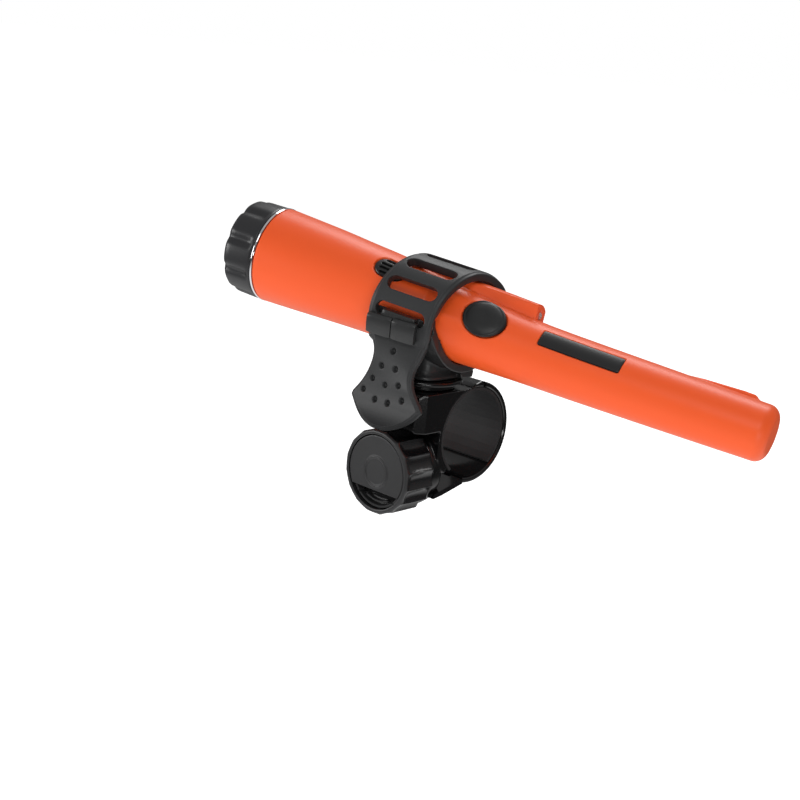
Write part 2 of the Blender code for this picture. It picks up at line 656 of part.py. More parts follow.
# rear anchor: the strap's end wraps a steel pin held between two ears of the cradle
ANCHOR_ANGLE = 203.0
ANCHOR_Y, ANCHOR_Z = polar(ANCHOR_ANGLE, 19.4, LOOP_Z)
ANCHOR_T = strap_centre(ANCHOR_ANGLE)
EYE_R, EYE_ROOM_R, PIN_R, PIN_HOLE_R = 2.7, 3.05, 1.2, 1.5
EYE_ROOM_HALF = STRAP_END_HALF + 0.35
EAR_INNER, EAR_OUTER, PIN_HALF = 9.7, 12.8, 12.6      # from the anchor's middle


def anchor_rod(half, r, sides):
    return rod(ring_x, ANCHOR_T - half, ANCHOR_T + half, r, sides, ANCHOR_Y, ANCHOR_Z)


def build_strap():
    rings = [strap_ring(angle) for angle in spread(STRAP_START, STRAP_END, 44)]
    strap = add("strap", loft(rings), "rubber", PROBE_FRAME)
    width = 2 * STRAP_MID_R * math.sin(math.radians(SLOT_SPAN / 2))
    for i in range(SLOT_COUNT):
        angle = SLOT_FIRST + SLOT_PITCH * i
        place = radial_frame(strap_centre(angle), angle, STRAP_MID_R, LOOP_Z)
        slot = prism(ring_z, obround(2 * SLOT_HALF, width, 5), -3.2, 3.2)
        cut(strap, f"strap_slot_{i}_cut", slot, place)
    join(strap, "strap_eye_cut", anchor_rod(STRAP_END_HALF, EYE_R, 20))
    cut(strap, "strap_eye_hole_cut", anchor_rod(12, PIN_HOLE_R, 16))
    add("anchor_pin", anchor_rod(PIN_HALF, PIN_R, 16), "steel", PROBE_FRAME)


# ================================================================ cradle
CRADLE_X0, CRADLE_X1 = -13.5, 14.8       # end planes, square to the pole
CRADLE_RI, CRADLE_RO = 17.0, 18.2
PAD_RO, PAD_RI_MAX, PAD_INSET = 16.65, 16.2, 1.0
FOOT_HALF_X, FOOT_HALF_Y, FOOT_LOW, FOOT_HIGH = 11.0, 9.0, 22.4, 31.5

HOOK_T = STRAP_T - 1.6
HOOK_HALF = 10.3
SEAT_ANGLES = spread(-26.0, 2.6, 4)
HOOK_SEAT = [(17.35, angle) for angle in SEAT_ANGLES] + [(18.15, angle) for angle in SEAT_ANGLES[::-1]]
HOOK_ROOT = [(17.7, -4.9), (21.6, -4.9), (21.6, 2.2), (17.7, 2.2)]
HOOK_LIP = [(21.05, -3.4), (21.05, -23.0), (21.6, -24.0), (22.5, -22.6), (22.9, -19.0),
            (22.9, -6.0), (22.4, -0.5), (21.3, 2.0)]
# name, start and end from HOOK_T, outline of (radius, angle) pairs
HOOK_PARTS = [
    ("hook_seat_cut", -HOOK_HALF, HOOK_HALF, HOOK_SEAT),
    ("hook_root_cut", -5.6, 8.4, HOOK_ROOT),
    ("hook_a_cut", -HOOK_HALF, -0.45, HOOK_LIP),
    ("hook_b_cut", 0.45, HOOK_HALF, HOOK_LIP),
]
# outline of an ear: radius, angle from the anchor
EAR = [(17.1, -10.0), (17.1, 12.0), (19.0, 12.0), (21.6, 5.0), (22.2, 0.0), (21.4, -6.5),
       (19.0, -10.0)]


def station(world_x, y, z):
    """Probe station at which a point of the given section coordinates lies at world_x."""
    row = PROBE_ROT[0]
    return (world_x - PROBE_ORIGIN.x - row[1] * y - row[2] * z) / row[0]


def saddle(x0, x1, angles, r_out, inner_radius, steps=2):
    """Curved shell about the loop's centre between two planes square to the pole."""
    rings = []
    for world_x in spread(x0, x1, steps):
        points = [polar(angle, r_out, LOOP_Z) for angle in angles]
        points += [polar(angle, inner_radius(world_x, angle), LOOP_Z) for angle in angles[::-1]]
        rings.append([(station(world_x, y, z), y, z) for y, z in points])
    return loft(rings)


def pad_inner(world_x, angle):
    """Radius from the loop's centre that just clears the housing."""
    r, cz = section(station(world_x, *polar(angle, 16, LOOP_Z)))
    y, z = direction(angle)
    drop = cz - LOOP_Z
    reach = z * drop + math.sqrt(max(0.0, r * r - (y * drop) ** 2))
    return min(reach + 0.35, PAD_RI_MAX)


def build_cradle():
    shell = saddle(CRADLE_X0, CRADLE_X1, spread(-14, -164, 22), CRADLE_RO,
                   lambda world_x, angle: CRADLE_RI)
    cradle = add("cradle", shell, "nylon", PROBE_FRAME)
    # flat foot on the swivel disc, upright in the world
    foot = bevelled(box(-FOOT_HALF_X, FOOT_HALF_X, SWIVEL_Y - FOOT_HALF_Y, SWIVEL_Y + FOOT_HALF_Y,
                        FOOT_LOW, FOOT_HIGH), HAIR_BEVEL)
    join(cradle, "cradle_foot_cut", foot, in_world=True)
    # clear the part of the foot that stands inside the shell
    trim = saddle(-30, 34, spread(-6, -174, 24), CRADLE_RI, lambda world_x, angle: 4.0, steps=1)
    cut(cradle, "cradle_trim_cut", trim)
    # hook: a root through the strap's first slot, two lips over the bar below it
    for name, start, end, outline in HOOK_PARTS:
        join(cradle, name, loop_prism(HOOK_T + start, HOOK_T + end, outline))
    cut(cradle, "eye_room_cut", anchor_rod(EYE_ROOM_HALF, EYE_ROOM_R, 20))
    ear = [(r, ANCHOR_ANGLE + angle) for r, angle in EAR]
    for name, start, end in (("ear_a_cut", -EAR_OUTER, -EAR_INNER),
                             ("ear_b_cut", EAR_INNER, EAR_OUTER)):
        join(cradle, name, loop_prism(ANCHOR_T + start, ANCHOR_T + end, ear))
    cut(cradle, "pin_hole_cut", anchor_rod(14, PIN_HOLE_R, 16))
    # stepped well for the swivel screw and its head: height, radius
    well = [(20.0, SCREW_HOLE_R), (24.3, SCREW_HOLE_R), (24.3, 5.8), (34.0, 5.8)]
    cut(cradle, "screw_well_cut", turned(ring_z, well, SCREW_SIDES, 0.0, SWIVEL_Y), in_world=True)


def build_cradle_pad():
    """Rubber pad between the saddle and the housing."""
    pad = saddle(CRADLE_X0 + PAD_INSET, CRADLE_X1 - PAD_INSET, spread(-38, -142, 16), PAD_RO,
                 pad_inner, steps=3)
    add("cradle_pad", pad, "rubber", PROBE_FRAME)


# ================================================================ pull tab
# z, centre x, half width, back y, slope of y across, slope of z across, thickness
TAB_SECTIONS = [
    (36.3, 3.2, 11.6, -35.7, 0.278, -0.15, 2.1), (33.6, 3.3, 10.6, -36.7, 0.22, -0.18, 2.1),
    (30.9, 3.4, 9.9, -37.4, 0.15, -0.2, 2.1), (28.0, 3.3, 9.8, -38.0, 0.09, -0.18, 2.1),
    (24.8, 3.0, 10.6, -38.3, 0.04, -0.13, 2.1), (21.4, 2.7, 12.3, -38.5, 0.0, -0.07, 2.1),
    (18.0, 2.4, 14.6, -38.6, 0.0, -0.02, 2.1), (15.4, 2.2, 16.9, -38.8, 0.0, 0.01, 2.1),
    (13.3, 2.1, 18.2, -39.1, 0.0, 0.015, 2.1), (11.2, 2.0, 17.6, -39.5, 0.0, 0.01, 2.1),
    (9.0, 1.9, 14.8, -40.0, 0.0, 0.0, 2.0), (6.6, 1.8, 10.2, -40.5, 0.0, 0.0, 1.9),
    (5.0, 1.7, 5.2, -40.9, 0.0, 0.0, 1.7),
]
DIMPLE_X, DIMPLE_Z = 2.9, 33.4           # the single dimple of the top row
DIMPLE_PITCH, DIMPLE_ROW_PITCH = 6.7, 6.6
DIMPLE_ROW_DRIFT = 0.7                   # each row lies this much further towards -X
DIMPLE_SAG = 0.027
DIMPLE_Y = (-36.1, -37.1, -37.75, -37.85)    # the narrow end of each row's dimple tools


def tab_ring(z, centre_x, half, y, turn, slope, thick):
    corners = [(-1, thick - 0.5), (-0.97, thick), (0.97, thick), (1, thick - 0.5),
               (1, 0.4), (0.96, 0.0), (-0.96, 0.0), (-1, 0.4)]
    return [(centre_x + k * half, y + k * half * turn + dy, z + k * half * slope)
            for k, dy in corners]


def build_pull_tab():
    """The strap's free end below the hook, spreading to a fan shape."""
    tab = add("strap_pull_tab", loft([tab_ring(*row) for row in TAB_SECTIONS]), "rubber")
    # dimples, rows of one to four, each row sagging in the middle
    for row, y in enumerate(DIMPLE_Y):
        for i in range(row + 1):
            across = (i - row / 2) * DIMPLE_PITCH
            x = DIMPLE_X - DIMPLE_ROW_DRIFT * row + across
            z = DIMPLE_Z - DIMPLE_ROW_PITCH * row + DIMPLE_SAG * across * across
            dimple = turned(ring_y, [(y, 0.8), (y - 3.0, 1.9)], 8, x, z)
            cut(tab, f"dimple_{row}_{i}_cut", dimple)


# ================================================================ swivel
DISC_R, WASHER_R = 15.8, 13.0


def swivel_hole(z0, z1):
    return rod(ring_z, z0, z1, SCREW_HOLE_R, SCREW_SIDES, 0.0, SWIVEL_Y)


def build_swivel():
    disc = bevelled(rod(ring_z, 20.3, 22.1, DISC_R, 40, 0.0, SWIVEL_Y), 0.3)
    cut(add("swivel_disc", disc, "nylon"), "disc_bore_cut", swivel_hole(18, 26))
    washer = bevelled(rod(ring_z, 18.4, 20.0, WASHER_R, 32, 0.0, SWIVEL_Y), 0.2)
    cut(add("friction_washer", washer, "steel"), "washer_bore_cut", swivel_hole(16, 26))
    screw = [(13.0, SCREW_R), (24.6, SCREW_R), (24.6, 5.4), (26.6, 5.2), (27.2, 4.4)]
    add("swivel_screw", turned(ring_z, screw, SCREW_SIDES, 0.0, SWIVEL_Y), "steel")


# ================================================================ clamp
CLAMP_HALF = 15.0
LINER_RO = 18.1
BAND_RI = LINER_RO + GAP
BAND_RO = 20.4
LINER_SIDES = 32               # flat lands in a full turn of the liner's bore
BLOCK_TOP, BLOCK_BOTTOM, BLOCK_FRONT = 18.1, 1.9, -31.6
KNOB_Z, KNOB_R, KNOB_FACE, KNOB_BACK = -14.4, 16.2, -36.9, -22.4
KNOB_BORE_R = 14.1
KNOB_SIDES, KNOB_FLUTES = 96, 16
BOSS_R = 15.4
PLUG_R, PLUG_CHORD = 13.7, 7.4
TONGUE_TOP, TONGUE_LOW, TONGUE_HALF, TONGUE_FRONT = -22.2, -24.6, 8.8, -33.5
WAY_PLAY, WAY_SIDE_PLAY = 0.6, 0.4       # room round the tongue

# block over the pole's front and top, flat on top for the swivel: y, z
BLOCK_OUTLINE = [
    (2.5, 20.6), (-1.0, BLOCK_TOP + 1.4), (-3.5, BLOCK_TOP), (-19.0, BLOCK_TOP),
    (BLOCK_FRONT + 2.2, BLOCK_TOP), (BLOCK_FRONT, BLOCK_TOP - 2.0),
    (BLOCK_FRONT - 0.9, BLOCK_BOTTOM + 1.0), (BLOCK_FRONT + 0.2, BLOCK_BOTTOM),
    (-19.6, BLOCK_BOTTOM), (-19.9, -2.0), (-19.9, -8.0), (-18.4, -11.5), (-15.2, -14.6),
]
# tool for a front corner, mirrored for the other: x, y
CORNER_OUTLINE = [(11.4, BLOCK_FRONT - 3.0), (19.0, BLOCK_FRONT - 3.0), (19.0, BLOCK_FRONT + 7.0),
                  (15.3, -28.0), (12.0, BLOCK_FRONT - 0.6)]
BOSS_PROFILE = [(-14.6, BOSS_R * 0.86), (-16.5, BOSS_R * 0.97), (KNOB_BACK + GAP, BOSS_R)]
# way through the boss, flared at the rear so that the sloping root can be drawn in: y, z
WAY_OUTLINE = [
    (-30.0, TONGUE_LOW - WAY_PLAY), (-8.0, TONGUE_LOW - WAY_PLAY), (-8.0, -17.2), (-12.0, -18.2),
    (-23.0, TONGUE_TOP + WAY_PLAY), (-30.0, TONGUE_TOP + WAY_PLAY),
]
# tongue from its sloping root under the pole forward through the dial: y, z
TONGUE_OUTLINE = [
    (-4.6, -19.0), (-4.6, -21.3), (-15.5, TONGUE_LOW - 0.1), (-17.5, TONGUE_LOW),
    (TONGUE_FRONT, TONGUE_LOW), (TONGUE_FRONT, TONGUE_TOP), (-17.5, TONGUE_TOP),
    (-15.0, TONGUE_TOP + 0.1),
]
# rings of the dial, closed through its bore: y, radius, flute depth
KNOB_RINGS = [
    (KNOB_FACE + 0.9, KNOB_BORE_R, 0), (KNOB_FACE, 14.6, 0), (KNOB_FACE, 15.3, 0),
    (KNOB_FACE + 0.8, KNOB_R, 0.2), (KNOB_FACE + 3.2, KNOB_R, 1.5),
    (KNOB_BACK - 0.8, KNOB_R, 1.5), (KNOB_BACK, KNOB_R - 0.6, 1.2), (KNOB_BACK, KNOB_BORE_R, 0),
]
PLUG_RINGS = [(KNOB_BACK - 0.1, PLUG_R - 0.5), (KNOB_FACE + 1.3, PLUG_R),
              (KNOB_FACE + 0.5, PLUG_R - 0.2), (KNOB_FACE + 0.3, PLUG_R - 0.6)]   # y, radius


def build_clamp_block():
    outline = BLOCK_OUTLINE + arc_points(LINER_RO + GAP, 222, 78, 22)
    body = bevelled(prism(ring_x, outline, -CLAMP_HALF, CLAMP_HALF), HAIR_BEVEL)
    block = add("clamp_block", body, "nylon")
    for name, side in (("corner_a_cut", 1), ("corner_b_cut", -1)):
        corner = [(side * x, y) for x, y in CORNER_OUTLINE]
        cut(block, name, prism(ring_z, corner, 0.0, 22.0))
    # round collar that the knob turns against
    join(block, "dial_boss_cut", turned(ring_y, BOSS_PROFILE, 36, 0.0, KNOB_Z))
    cut(block, "pole_clear_cut", rod(ring_x, -20, 20, LINER_RO + GAP, 36))
    way_half = TONGUE_HALF + WAY_SIDE_PLAY
    cut(block, "tongue_way_cut", prism(ring_x, WAY_OUTLINE, -way_half, way_half))
    cut(block, "block_screw_cut", swivel_hole(12.6, 30))


def build_clamp_band():
    """Band round the back and underside of the pole, and its tongue."""
    start, end, steps = 76.5, -101, 26
    outline = arc_points(BAND_RO, start, end, steps) + arc_points(BAND_RI, start, end, steps)[::-1]
    add("clamp_band", prism(ring_x, outline, -CLAMP_HALF, CLAMP_HALF), "nylon")
    add("band_tongue", prism(ring_x, TONGUE_OUTLINE, -TONGUE_HALF, TONGUE_HALF), "nylon")


def build_clamp_liner():
    """Rubber strip inside the clamp; its bore has flat lands touching the pole."""
    half_land = 180.0 / LINER_SIDES
    start = 90 + half_land + 12 * 2 * half_land
    end = 90 + half_land - 13 * 2 * half_land
    corner_r = POLE_R / math.cos(math.radians(half_land))
    outline = arc_points(corner_r, start, end, 25) + arc_points(LINER_RO, end, start, 40)
    half_length = CLAMP_HALF - 0.5
    add("clamp_liner", prism(ring_x, outline, -half_length, half_length), "rubber")


def knob_ring(y, r, depth):
    """Ring of the dial with rounded flutes of the given depth."""
    points = []
    for i in range(KNOB_SIDES):
        turn = 2 * math.pi * i / KNOB_SIDES
        flute_r = r - depth * (0.5 + 0.5 * math.cos(KNOB_FLUTES * turn))
        points.append((math.sin(turn) * flute_r, KNOB_Z + math.cos(turn) * flute_r))
    return ring_y(y, points)


def plug_ring(y, r, sides=40):
    """Ring of the plug, cut flat below where the tongue passes."""
    turns = [2 * math.pi * i / sides for i in range(sides)]
    return ring_y(y, [(r * math.sin(turn), KNOB_Z + max(r * math.cos(turn), -PLUG_CHORD))
                      for turn in turns])


def build_dial():
    knob = loft([knob_ring(*row) for row in KNOB_RINGS], closed=True)
    add("dial_knob", knob, "knob", smooth=35)
    plug = add("knob_plug", loft([plug_ring(y, r) for y, r in PLUG_RINGS]), "knob")
    # shallow ring groove in the plug's face
    groove = sleeve(ring_y, KNOB_FACE - 1.0, KNOB_FACE + 0.7, 6.0, 5.2, 28, 0.0, KNOB_Z)
    cut(plug, "plug_ring_cut", groove)


# ================================================================ assembly
build_housing()
build_cap()
build_battery()
build_circuit_board()
build_vibration_motor()
build_power_button()
build_speaker()
build_lamp()
build_search_coil()
for wire in WIRES:
    build_wire(*wire)
build_name_plate()

build_strap()
build_cradle()
build_cradle_pad()
build_pull_tab()
build_swivel()

build_clamp_block()
build_clamp_band()
build_clamp_liner()
build_dial()

bpy.context.view_layer.update()
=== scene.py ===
"""Pinpointer probe held by a rubber strap in a cradle, swivelled on a clamp round a pole.

The row frame is in metres, Z up, and the pole runs along X with its crown at the origin.
Shapes are given in millimetres, either from the pole's axis or in the probe's own frame
(station along the probe, y, z). The probe's nose points to +X, turned a little towards +Y
and dipping. Its side at -Y is called the front. The clamp's dial faces -Y.
"""
import math

import bmesh
import bpy
import numpy as np
from mathutils import Matrix, Vector

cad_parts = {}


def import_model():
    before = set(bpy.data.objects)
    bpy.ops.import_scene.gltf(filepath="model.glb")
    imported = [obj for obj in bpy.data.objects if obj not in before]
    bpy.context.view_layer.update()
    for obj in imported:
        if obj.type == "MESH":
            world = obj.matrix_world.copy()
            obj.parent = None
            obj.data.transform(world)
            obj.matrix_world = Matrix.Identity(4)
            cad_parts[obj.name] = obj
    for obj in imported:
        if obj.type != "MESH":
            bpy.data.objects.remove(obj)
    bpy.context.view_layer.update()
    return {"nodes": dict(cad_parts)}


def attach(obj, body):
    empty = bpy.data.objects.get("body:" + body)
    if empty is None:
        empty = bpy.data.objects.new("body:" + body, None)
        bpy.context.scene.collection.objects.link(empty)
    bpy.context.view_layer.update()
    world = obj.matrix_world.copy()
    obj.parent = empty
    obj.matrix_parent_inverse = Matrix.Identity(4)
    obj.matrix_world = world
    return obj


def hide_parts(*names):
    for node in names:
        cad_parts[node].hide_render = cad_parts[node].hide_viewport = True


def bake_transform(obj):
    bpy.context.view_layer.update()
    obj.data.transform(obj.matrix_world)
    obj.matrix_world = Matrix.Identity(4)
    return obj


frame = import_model()
scene = bpy.context.scene

# ================================================================ frames
MM = 0.001
DROP = np.array([0.0, 0.0, -17.0])        # from the pole's axis to its crown
YAW, DIP = math.radians(15.53), math.radians(8.15)
ALONG = np.array([math.cos(YAW) * math.cos(DIP), math.sin(YAW) * math.cos(DIP), -math.sin(DIP)])
ACROSS = np.array([-math.sin(YAW), math.cos(YAW), 0.0])
UP = np.cross(ALONG, ACROSS)
PROBE_ORIGIN = np.array([0.0, -17.17, 48.06]) - 68.73 * ALONG


def world(points):
    """Pole-axis millimetres to row-frame metres."""
    return (np.asarray(points, float) + DROP) * MM


def probe_mm(points):
    """Probe-frame millimetres to pole-axis millimetres."""
    p = np.asarray(points, float)
    return PROBE_ORIGIN + p[..., 0:1] * ALONG + p[..., 1:2] * ACROSS + p[..., 2:3] * UP


def probe(points):
    """Probe-frame millimetres to row-frame metres."""
    return world(probe_mm(points))


def to_probe(points):
    """Pole-axis millimetres to the probe's frame."""
    offset = np.asarray(points, float) - PROBE_ORIGIN
    return np.stack([offset @ ALONG, offset @ ACROSS, offset @ UP], -1)


def ease(start, end, x):
    """Smooth rise from 0 at start to 1 at end."""
    k = np.clip((x - start) / (end - start), 0.0, 1.0)
    return k * k * (3 - 2 * k)


def unit(vectors):
    return vectors / np.linalg.norm(vectors, axis=-1, keepdims=True)


# ================================================================ materials
BUMP_DEPTH = 0.0002        # metres
SPECULAR = "Specular IOR Level"
METAL = {"Metallic": 1.0}
SOFT_GLOW = {SPECULAR: 0.42, "Subsurface Weight": 0.04,
             "Subsurface Radius": (0.004, 0.0012, 0.0005), "Subsurface Scale": 1.0}

# key: name, colour, roughness, its spread either way, grain scale, bump strength,
#      mottle (share of the colour, either way), other shader inputs
SURFACES = {
    "orange": ("satin_orange", (0.95, 0.108, 0.016), 0.40, 0.03, 1500, 0.06, 0.015, SOFT_GLOW),
    "cap": ("cap_black", (0.020, 0.020, 0.022), 0.36, 0.05, 1200, 0.06, 0.08),
    "rubber": ("strap_rubber", (0.026, 0.0268, 0.028), 0.48, 0.05, 1100, 0.18, 0.1,
               {SPECULAR: 0.45}),
    "button": ("button_rubber", (0.010, 0.0104, 0.0108), 0.42, 0.05, 1300, 0.12, 0.08),
    "gloss": ("clamp_gloss", (0.0045, 0.0045, 0.005), 0.16, 0.05, 500, 0.05, 0.1,
              {SPECULAR: 0.55}),
    "cradle": ("cradle_nylon", (0.024, 0.0245, 0.025), 0.34, 0.06, 700, 0.1, 0.1),
    "knob": ("dial_face", (0.024, 0.024, 0.025), 0.42, 0.05, 1800, 0.12, 0.08),
    "knob_side": ("dial_side", (0.012, 0.012, 0.013), 0.2, 0.05, 900, 0.05, 0.08),
    "chrome": ("trim_chrome", (0.9, 0.9, 0.92), 0.08, 0.03, 300, 0.02, 0.01, METAL),
    "steel": ("turned_steel", (0.56, 0.56, 0.57), 0.28, 0.08, 1500, 0.1, 0.05, METAL),
    "plate": ("plate_black", (0.010, 0.010, 0.0105), 0.34, 0.03, 1600, 0.06, 0.05),
    "dark": ("dark_recess", (0.01, 0.01, 0.01), 0.6, 0.05, 900, 0.1, 0.1),    # worn by no piece
    "pcb": ("board_green", (0.02, 0.15, 0.055), 0.42, 0.05, 700, 0.15, 0.15),
    "copper": ("enamelled_copper", (0.70, 0.27, 0.10), 0.3, 0.08, 800, 0.2, 0.1, METAL),
    "ferrite": ("ferrite", (0.045, 0.045, 0.05), 0.62, 0.08, 900, 0.3, 0.2),
    "tin": ("tin_plate", (0.6, 0.6, 0.6), 0.3, 0.08, 900, 0.1, 0.06, METAL),
    "jacket": ("battery_jacket", (0.05, 0.065, 0.10), 0.32, 0.05, 700, 0.06, 0.1),
    "bobbin": ("bobbin_nylon", (0.72, 0.70, 0.62), 0.45, 0.05, 700, 0.1, 0.05),
    "wire_red": ("wire_red", (0.5, 0.02, 0.02), 0.4, 0.05, 900, 0.08, 0.05),
    "wire_black": ("wire_black", (0.015, 0.015, 0.015), 0.4, 0.05, 900, 0.08, 0.05),
    "foam": ("foam", (0.06, 0.06, 0.065), 0.9, 0.05, 1400, 0.8, 0.3),
    "liner": ("liner_rubber", (0.016, 0.016, 0.017), 0.7, 0.06, 900, 0.35, 0.1),
}
# the two wires were specified by grain only; their fifth number is the bump strength
WIRE_BUMP = 0.05
for wire in ("wire_red", "wire_black"):
    SURFACES[wire] = (*SURFACES[wire][:5], WIRE_BUMP, 0.04)
MATERIAL = {}


def new_material(name):
    """A material with its node tree and its surface shader."""
    material = bpy.data.materials.new(name)
    material.use_nodes = True
    return material, material.node_tree, material.node_tree.nodes["Principled BSDF"]


def set_inputs(node, values):
    for socket, value in values.items():
        node.inputs[socket].default_value = value


def add_node(tree, kind, values=None, **settings):
    node = tree.nodes.new("ShaderNode" + kind)
    for key, value in settings.items():
        setattr(node, key, value)
    set_inputs(node, values or {})
    return node


def map_range(tree, source, low_in, high_in, low_out, high_out):
    """Output of a node that maps one range of the source onto another."""
    node = add_node(tree, "MapRange", {1: low_in, 2: high_in, 3: low_out, 4: high_out})
    tree.links.new(source, node.inputs[0])
    return node.outputs[0]


def add_bump(tree, shader, noise, strength):
    bump = add_node(tree, "Bump", {"Strength": strength, "Distance": BUMP_DEPTH})
    tree.links.new(noise.outputs["Fac"], bump.inputs["Height"])
    tree.links.new(bump.outputs[0], shader.inputs["Normal"])


def moulded(name, colour, roughness, spread, grain, bump, mottle, other={}):
    """Moulded surface: fine grain in the bump, slow mottling in colour and roughness."""
    material, tree, shader = new_material(name)
    link = tree.links.new
    place = add_node(tree, "TexCoord")
    slow = add_node(tree, "TexNoise", {"Scale": 45.0, "Detail": 4.0})
    fine = add_node(tree, "TexNoise", {"Scale": grain, "Detail": 3.0})
    for noise in (slow, fine):
        link(place.outputs["Object"], noise.inputs["Vector"])
    darker = (*[c * (1 - mottle) for c in colour], 1)
    lighter = (*[min(1.0, c * (1 + mottle)) for c in colour], 1)
    mix = add_node(tree, "Mix", {6: darker, 7: lighter}, data_type="RGBA")
    link(slow.outputs["Fac"], mix.inputs[0])
    link(mix.outputs[2], shader.inputs["Base Color"])
    varied = map_range(tree, slow.outputs["Fac"], 0.0, 1.0, roughness - spread, roughness + spread)
    link(varied, shader.inputs["Roughness"])
    add_bump(tree, shader, fine, bump)
    set_inputs(shader, {"Coat Roughness": 0.2, **other})
    return material


def paint_fan_shade(rubber):
    """Painted shade: the strap's lower fan is darkened in colour, and given a weaker specular,
    towards its edge.
    """
    shade_full_at, shade_none_at = -0.013, -0.002        # heights in metres
    tree = rubber.node_tree
    link = tree.links.new
    shader = tree.nodes["Principled BSDF"]
    place = add_node(tree, "TexCoord")
    split = add_node(tree, "SeparateXYZ")
    link(place.outputs["Object"], split.inputs[0])
    height = split.outputs[2]
    # painted shade: towards the fan's lower edge the colour is scaled down to 0.55 and the specular
    # falls to 0.12
    link(map_range(tree, height, shade_full_at, shade_none_at, 0.12, 0.45), shader.inputs[SPECULAR])
    painted_shade = map_range(tree, height, shade_full_at, shade_none_at, 0.55, 1.0)
    scale = add_node(tree, "VectorMath", operation="SCALE")
    link(shader.inputs["Base Color"].links[0].from_socket, scale.inputs[0])
    link(painted_shade, scale.inputs["Scale"])
    link(scale.outputs[0], shader.inputs["Base Color"])


def clear_lens():
    material, tree, shader = new_material("lamp_lens")
    # painted reflection: the pink tint of the base colour stands in for the orange housing seen in
    # the clear lens
    set_inputs(shader, {"Base Color": (0.95, 0.80, 0.76, 1), "Roughness": 0.08,
                        "Transmission Weight": 0.6})
    add_bump(tree, shader, add_node(tree, "TexNoise", {"Scale": 400}), 0.03)
    return material


# ================================================================ mesh helpers
def shade(piece, sharp):
    """Smooth shading, with edges steeper than an angle in degrees kept sharp."""
    piece.data.shade_smooth()
    piece.data.set_sharp_from_angle(angle=math.radians(sharp))


def make(name, points, faces, look, sharp=40.0):
    """Object from points in metres; look is a key of MATERIAL or a material."""
    mesh = bpy.data.meshes.new(name)
    mesh.from_pydata(points.reshape(-1, 3).tolist(), [], [list(map(int, f)) for f in faces])
    mesh.update()
    piece = bpy.data.objects.new(name, mesh)
    scene.collection.objects.link(piece)
    mesh.materials.append(MATERIAL.get(look, look))
    bm = bmesh.new()
    bm.from_mesh(mesh)
    bmesh.ops.remove_doubles(bm, verts=bm.verts, dist=1e-7)
    bmesh.ops.recalc_face_normals(bm, faces=bm.faces)
    bm.to_mesh(mesh)
    bm.free()
    shade(piece, sharp)
    return piece


def loft(name, place, rings, look, closed=False, sharp=40.0):
    """Skin over rings: closed back onto the first ring, or shut by a flat face at each end."""
    points = place(rings)
    rows, count = points.shape[:2]
    faces = []
    for i in range(rows if closed else rows - 1):
        here, after = i * count, (i + 1) % rows * count
        for j in range(count):
            k = (j + 1) % count
            faces.append((here + j, here + k, after + k, after + j))
    if not closed:
        faces += [range(count), range((rows - 1) * count, rows * count)]
    return make(name, points, faces, look, sharp)


def circle(radius, count):
    turn = 2 * np.pi * np.arange(count) / count
    return np.stack([radius * np.cos(turn), radius * np.sin(turn)], -1)


def on_axis(axis, position, outline):
    """Flat outline set square to an axis at a position along it."""
    return np.insert(np.asarray(outline, float), "xyz".index(axis), position, axis=1)


def circles(axis, centre, profile, count):
    """Circles from (position, radius) pairs, about a line parallel to an axis."""
    return [on_axis(axis, position, centre + circle(radius, count))
            for position, radius in profile]


def rod(axis, centre, start, end, radius, count):
    return circles(axis, centre, [(start, radius), (end, radius)], count)


def prism(axis, outline, start, end):
    return [on_axis(axis, position, outline) for position in (start, end)]


def join_into(target, others):
    """Several closed shells made one object."""
    bm = bmesh.new()
    for piece in [target] + others:
        bm.from_mesh(piece.data)
    bm.to_mesh(target.data)
    bm.free()
    for piece in others:
        bpy.data.objects.remove(piece, do_unlink=True)
    return target


def bake(piece):
    """Apply an object's modifiers."""
    graph = bpy.context.evaluated_depsgraph_get()
    mesh = bpy.data.meshes.new_from_object(piece.evaluated_get(graph))
    materials = list(piece.data.materials)
    piece.modifiers.clear()
    piece.data = mesh
    mesh.materials.clear()
    for material in materials:
        mesh.materials.append(material)


def cut(target, place, rings, operation="DIFFERENCE", closed=False):
    """Take a lofted shape away from the target, or fuse it on."""
    cutter = loft("cutter", place, rings, target.data.materials[0], closed)
    modifier = target.modifiers.new(operation, "BOOLEAN")
    modifier.operation = operation
    modifier.solver = "EXACT"
    modifier.object = cutter
    bpy.context.view_layer.update()
    bake(target)
    bpy.data.objects.remove(cutter, do_unlink=True)


def remesh(piece, voxel, smoothing=0, factor=0.5):
    """Fuse overlapping shells into one skin and soften its edges; voxel is in metres."""
    modifier = piece.modifiers.new("remesh", "REMESH")
    modifier.mode = "VOXEL"
    modifier.voxel_size = voxel
    modifier.use_smooth_shade = True
    if smoothing:
        modifier = piece.modifiers.new("smooth", "SMOOTH")
        modifier.iterations = smoothing
        modifier.factor = factor
    bake(piece)
    piece.data.shade_smooth()


def settle(piece, body, *replaced):
    """Tie a piece to its body and put it in place of CAD pieces."""
    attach(piece, body)
    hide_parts(*replaced)


# ================================================================ housing
# station, skin radius, height of the section's centre
HOUSING_SECTIONS = np.array([
    (0, 19.0, 0), (16, 18.3, -.1), (28, 17.7, -.15), (39, 17.0, -.4), (51, 16.5, -.6),
    (62, 15.8, -1.1), (72, 15.0, -1.6), (82, 14.2, -2.1), (92, 13.35, -2.6), (103, 12.5, -3.0),
    (113, 11.9, -3.3), (128, 11.6, -3.4), (149, 11.25, -3.3), (164, 11.0, -3.2),
    (190, 10.5, -3.0), (198, 10.35, -2.9), (206, 10.2, -2.85)])
LARGEST_RADIUS = 18.95
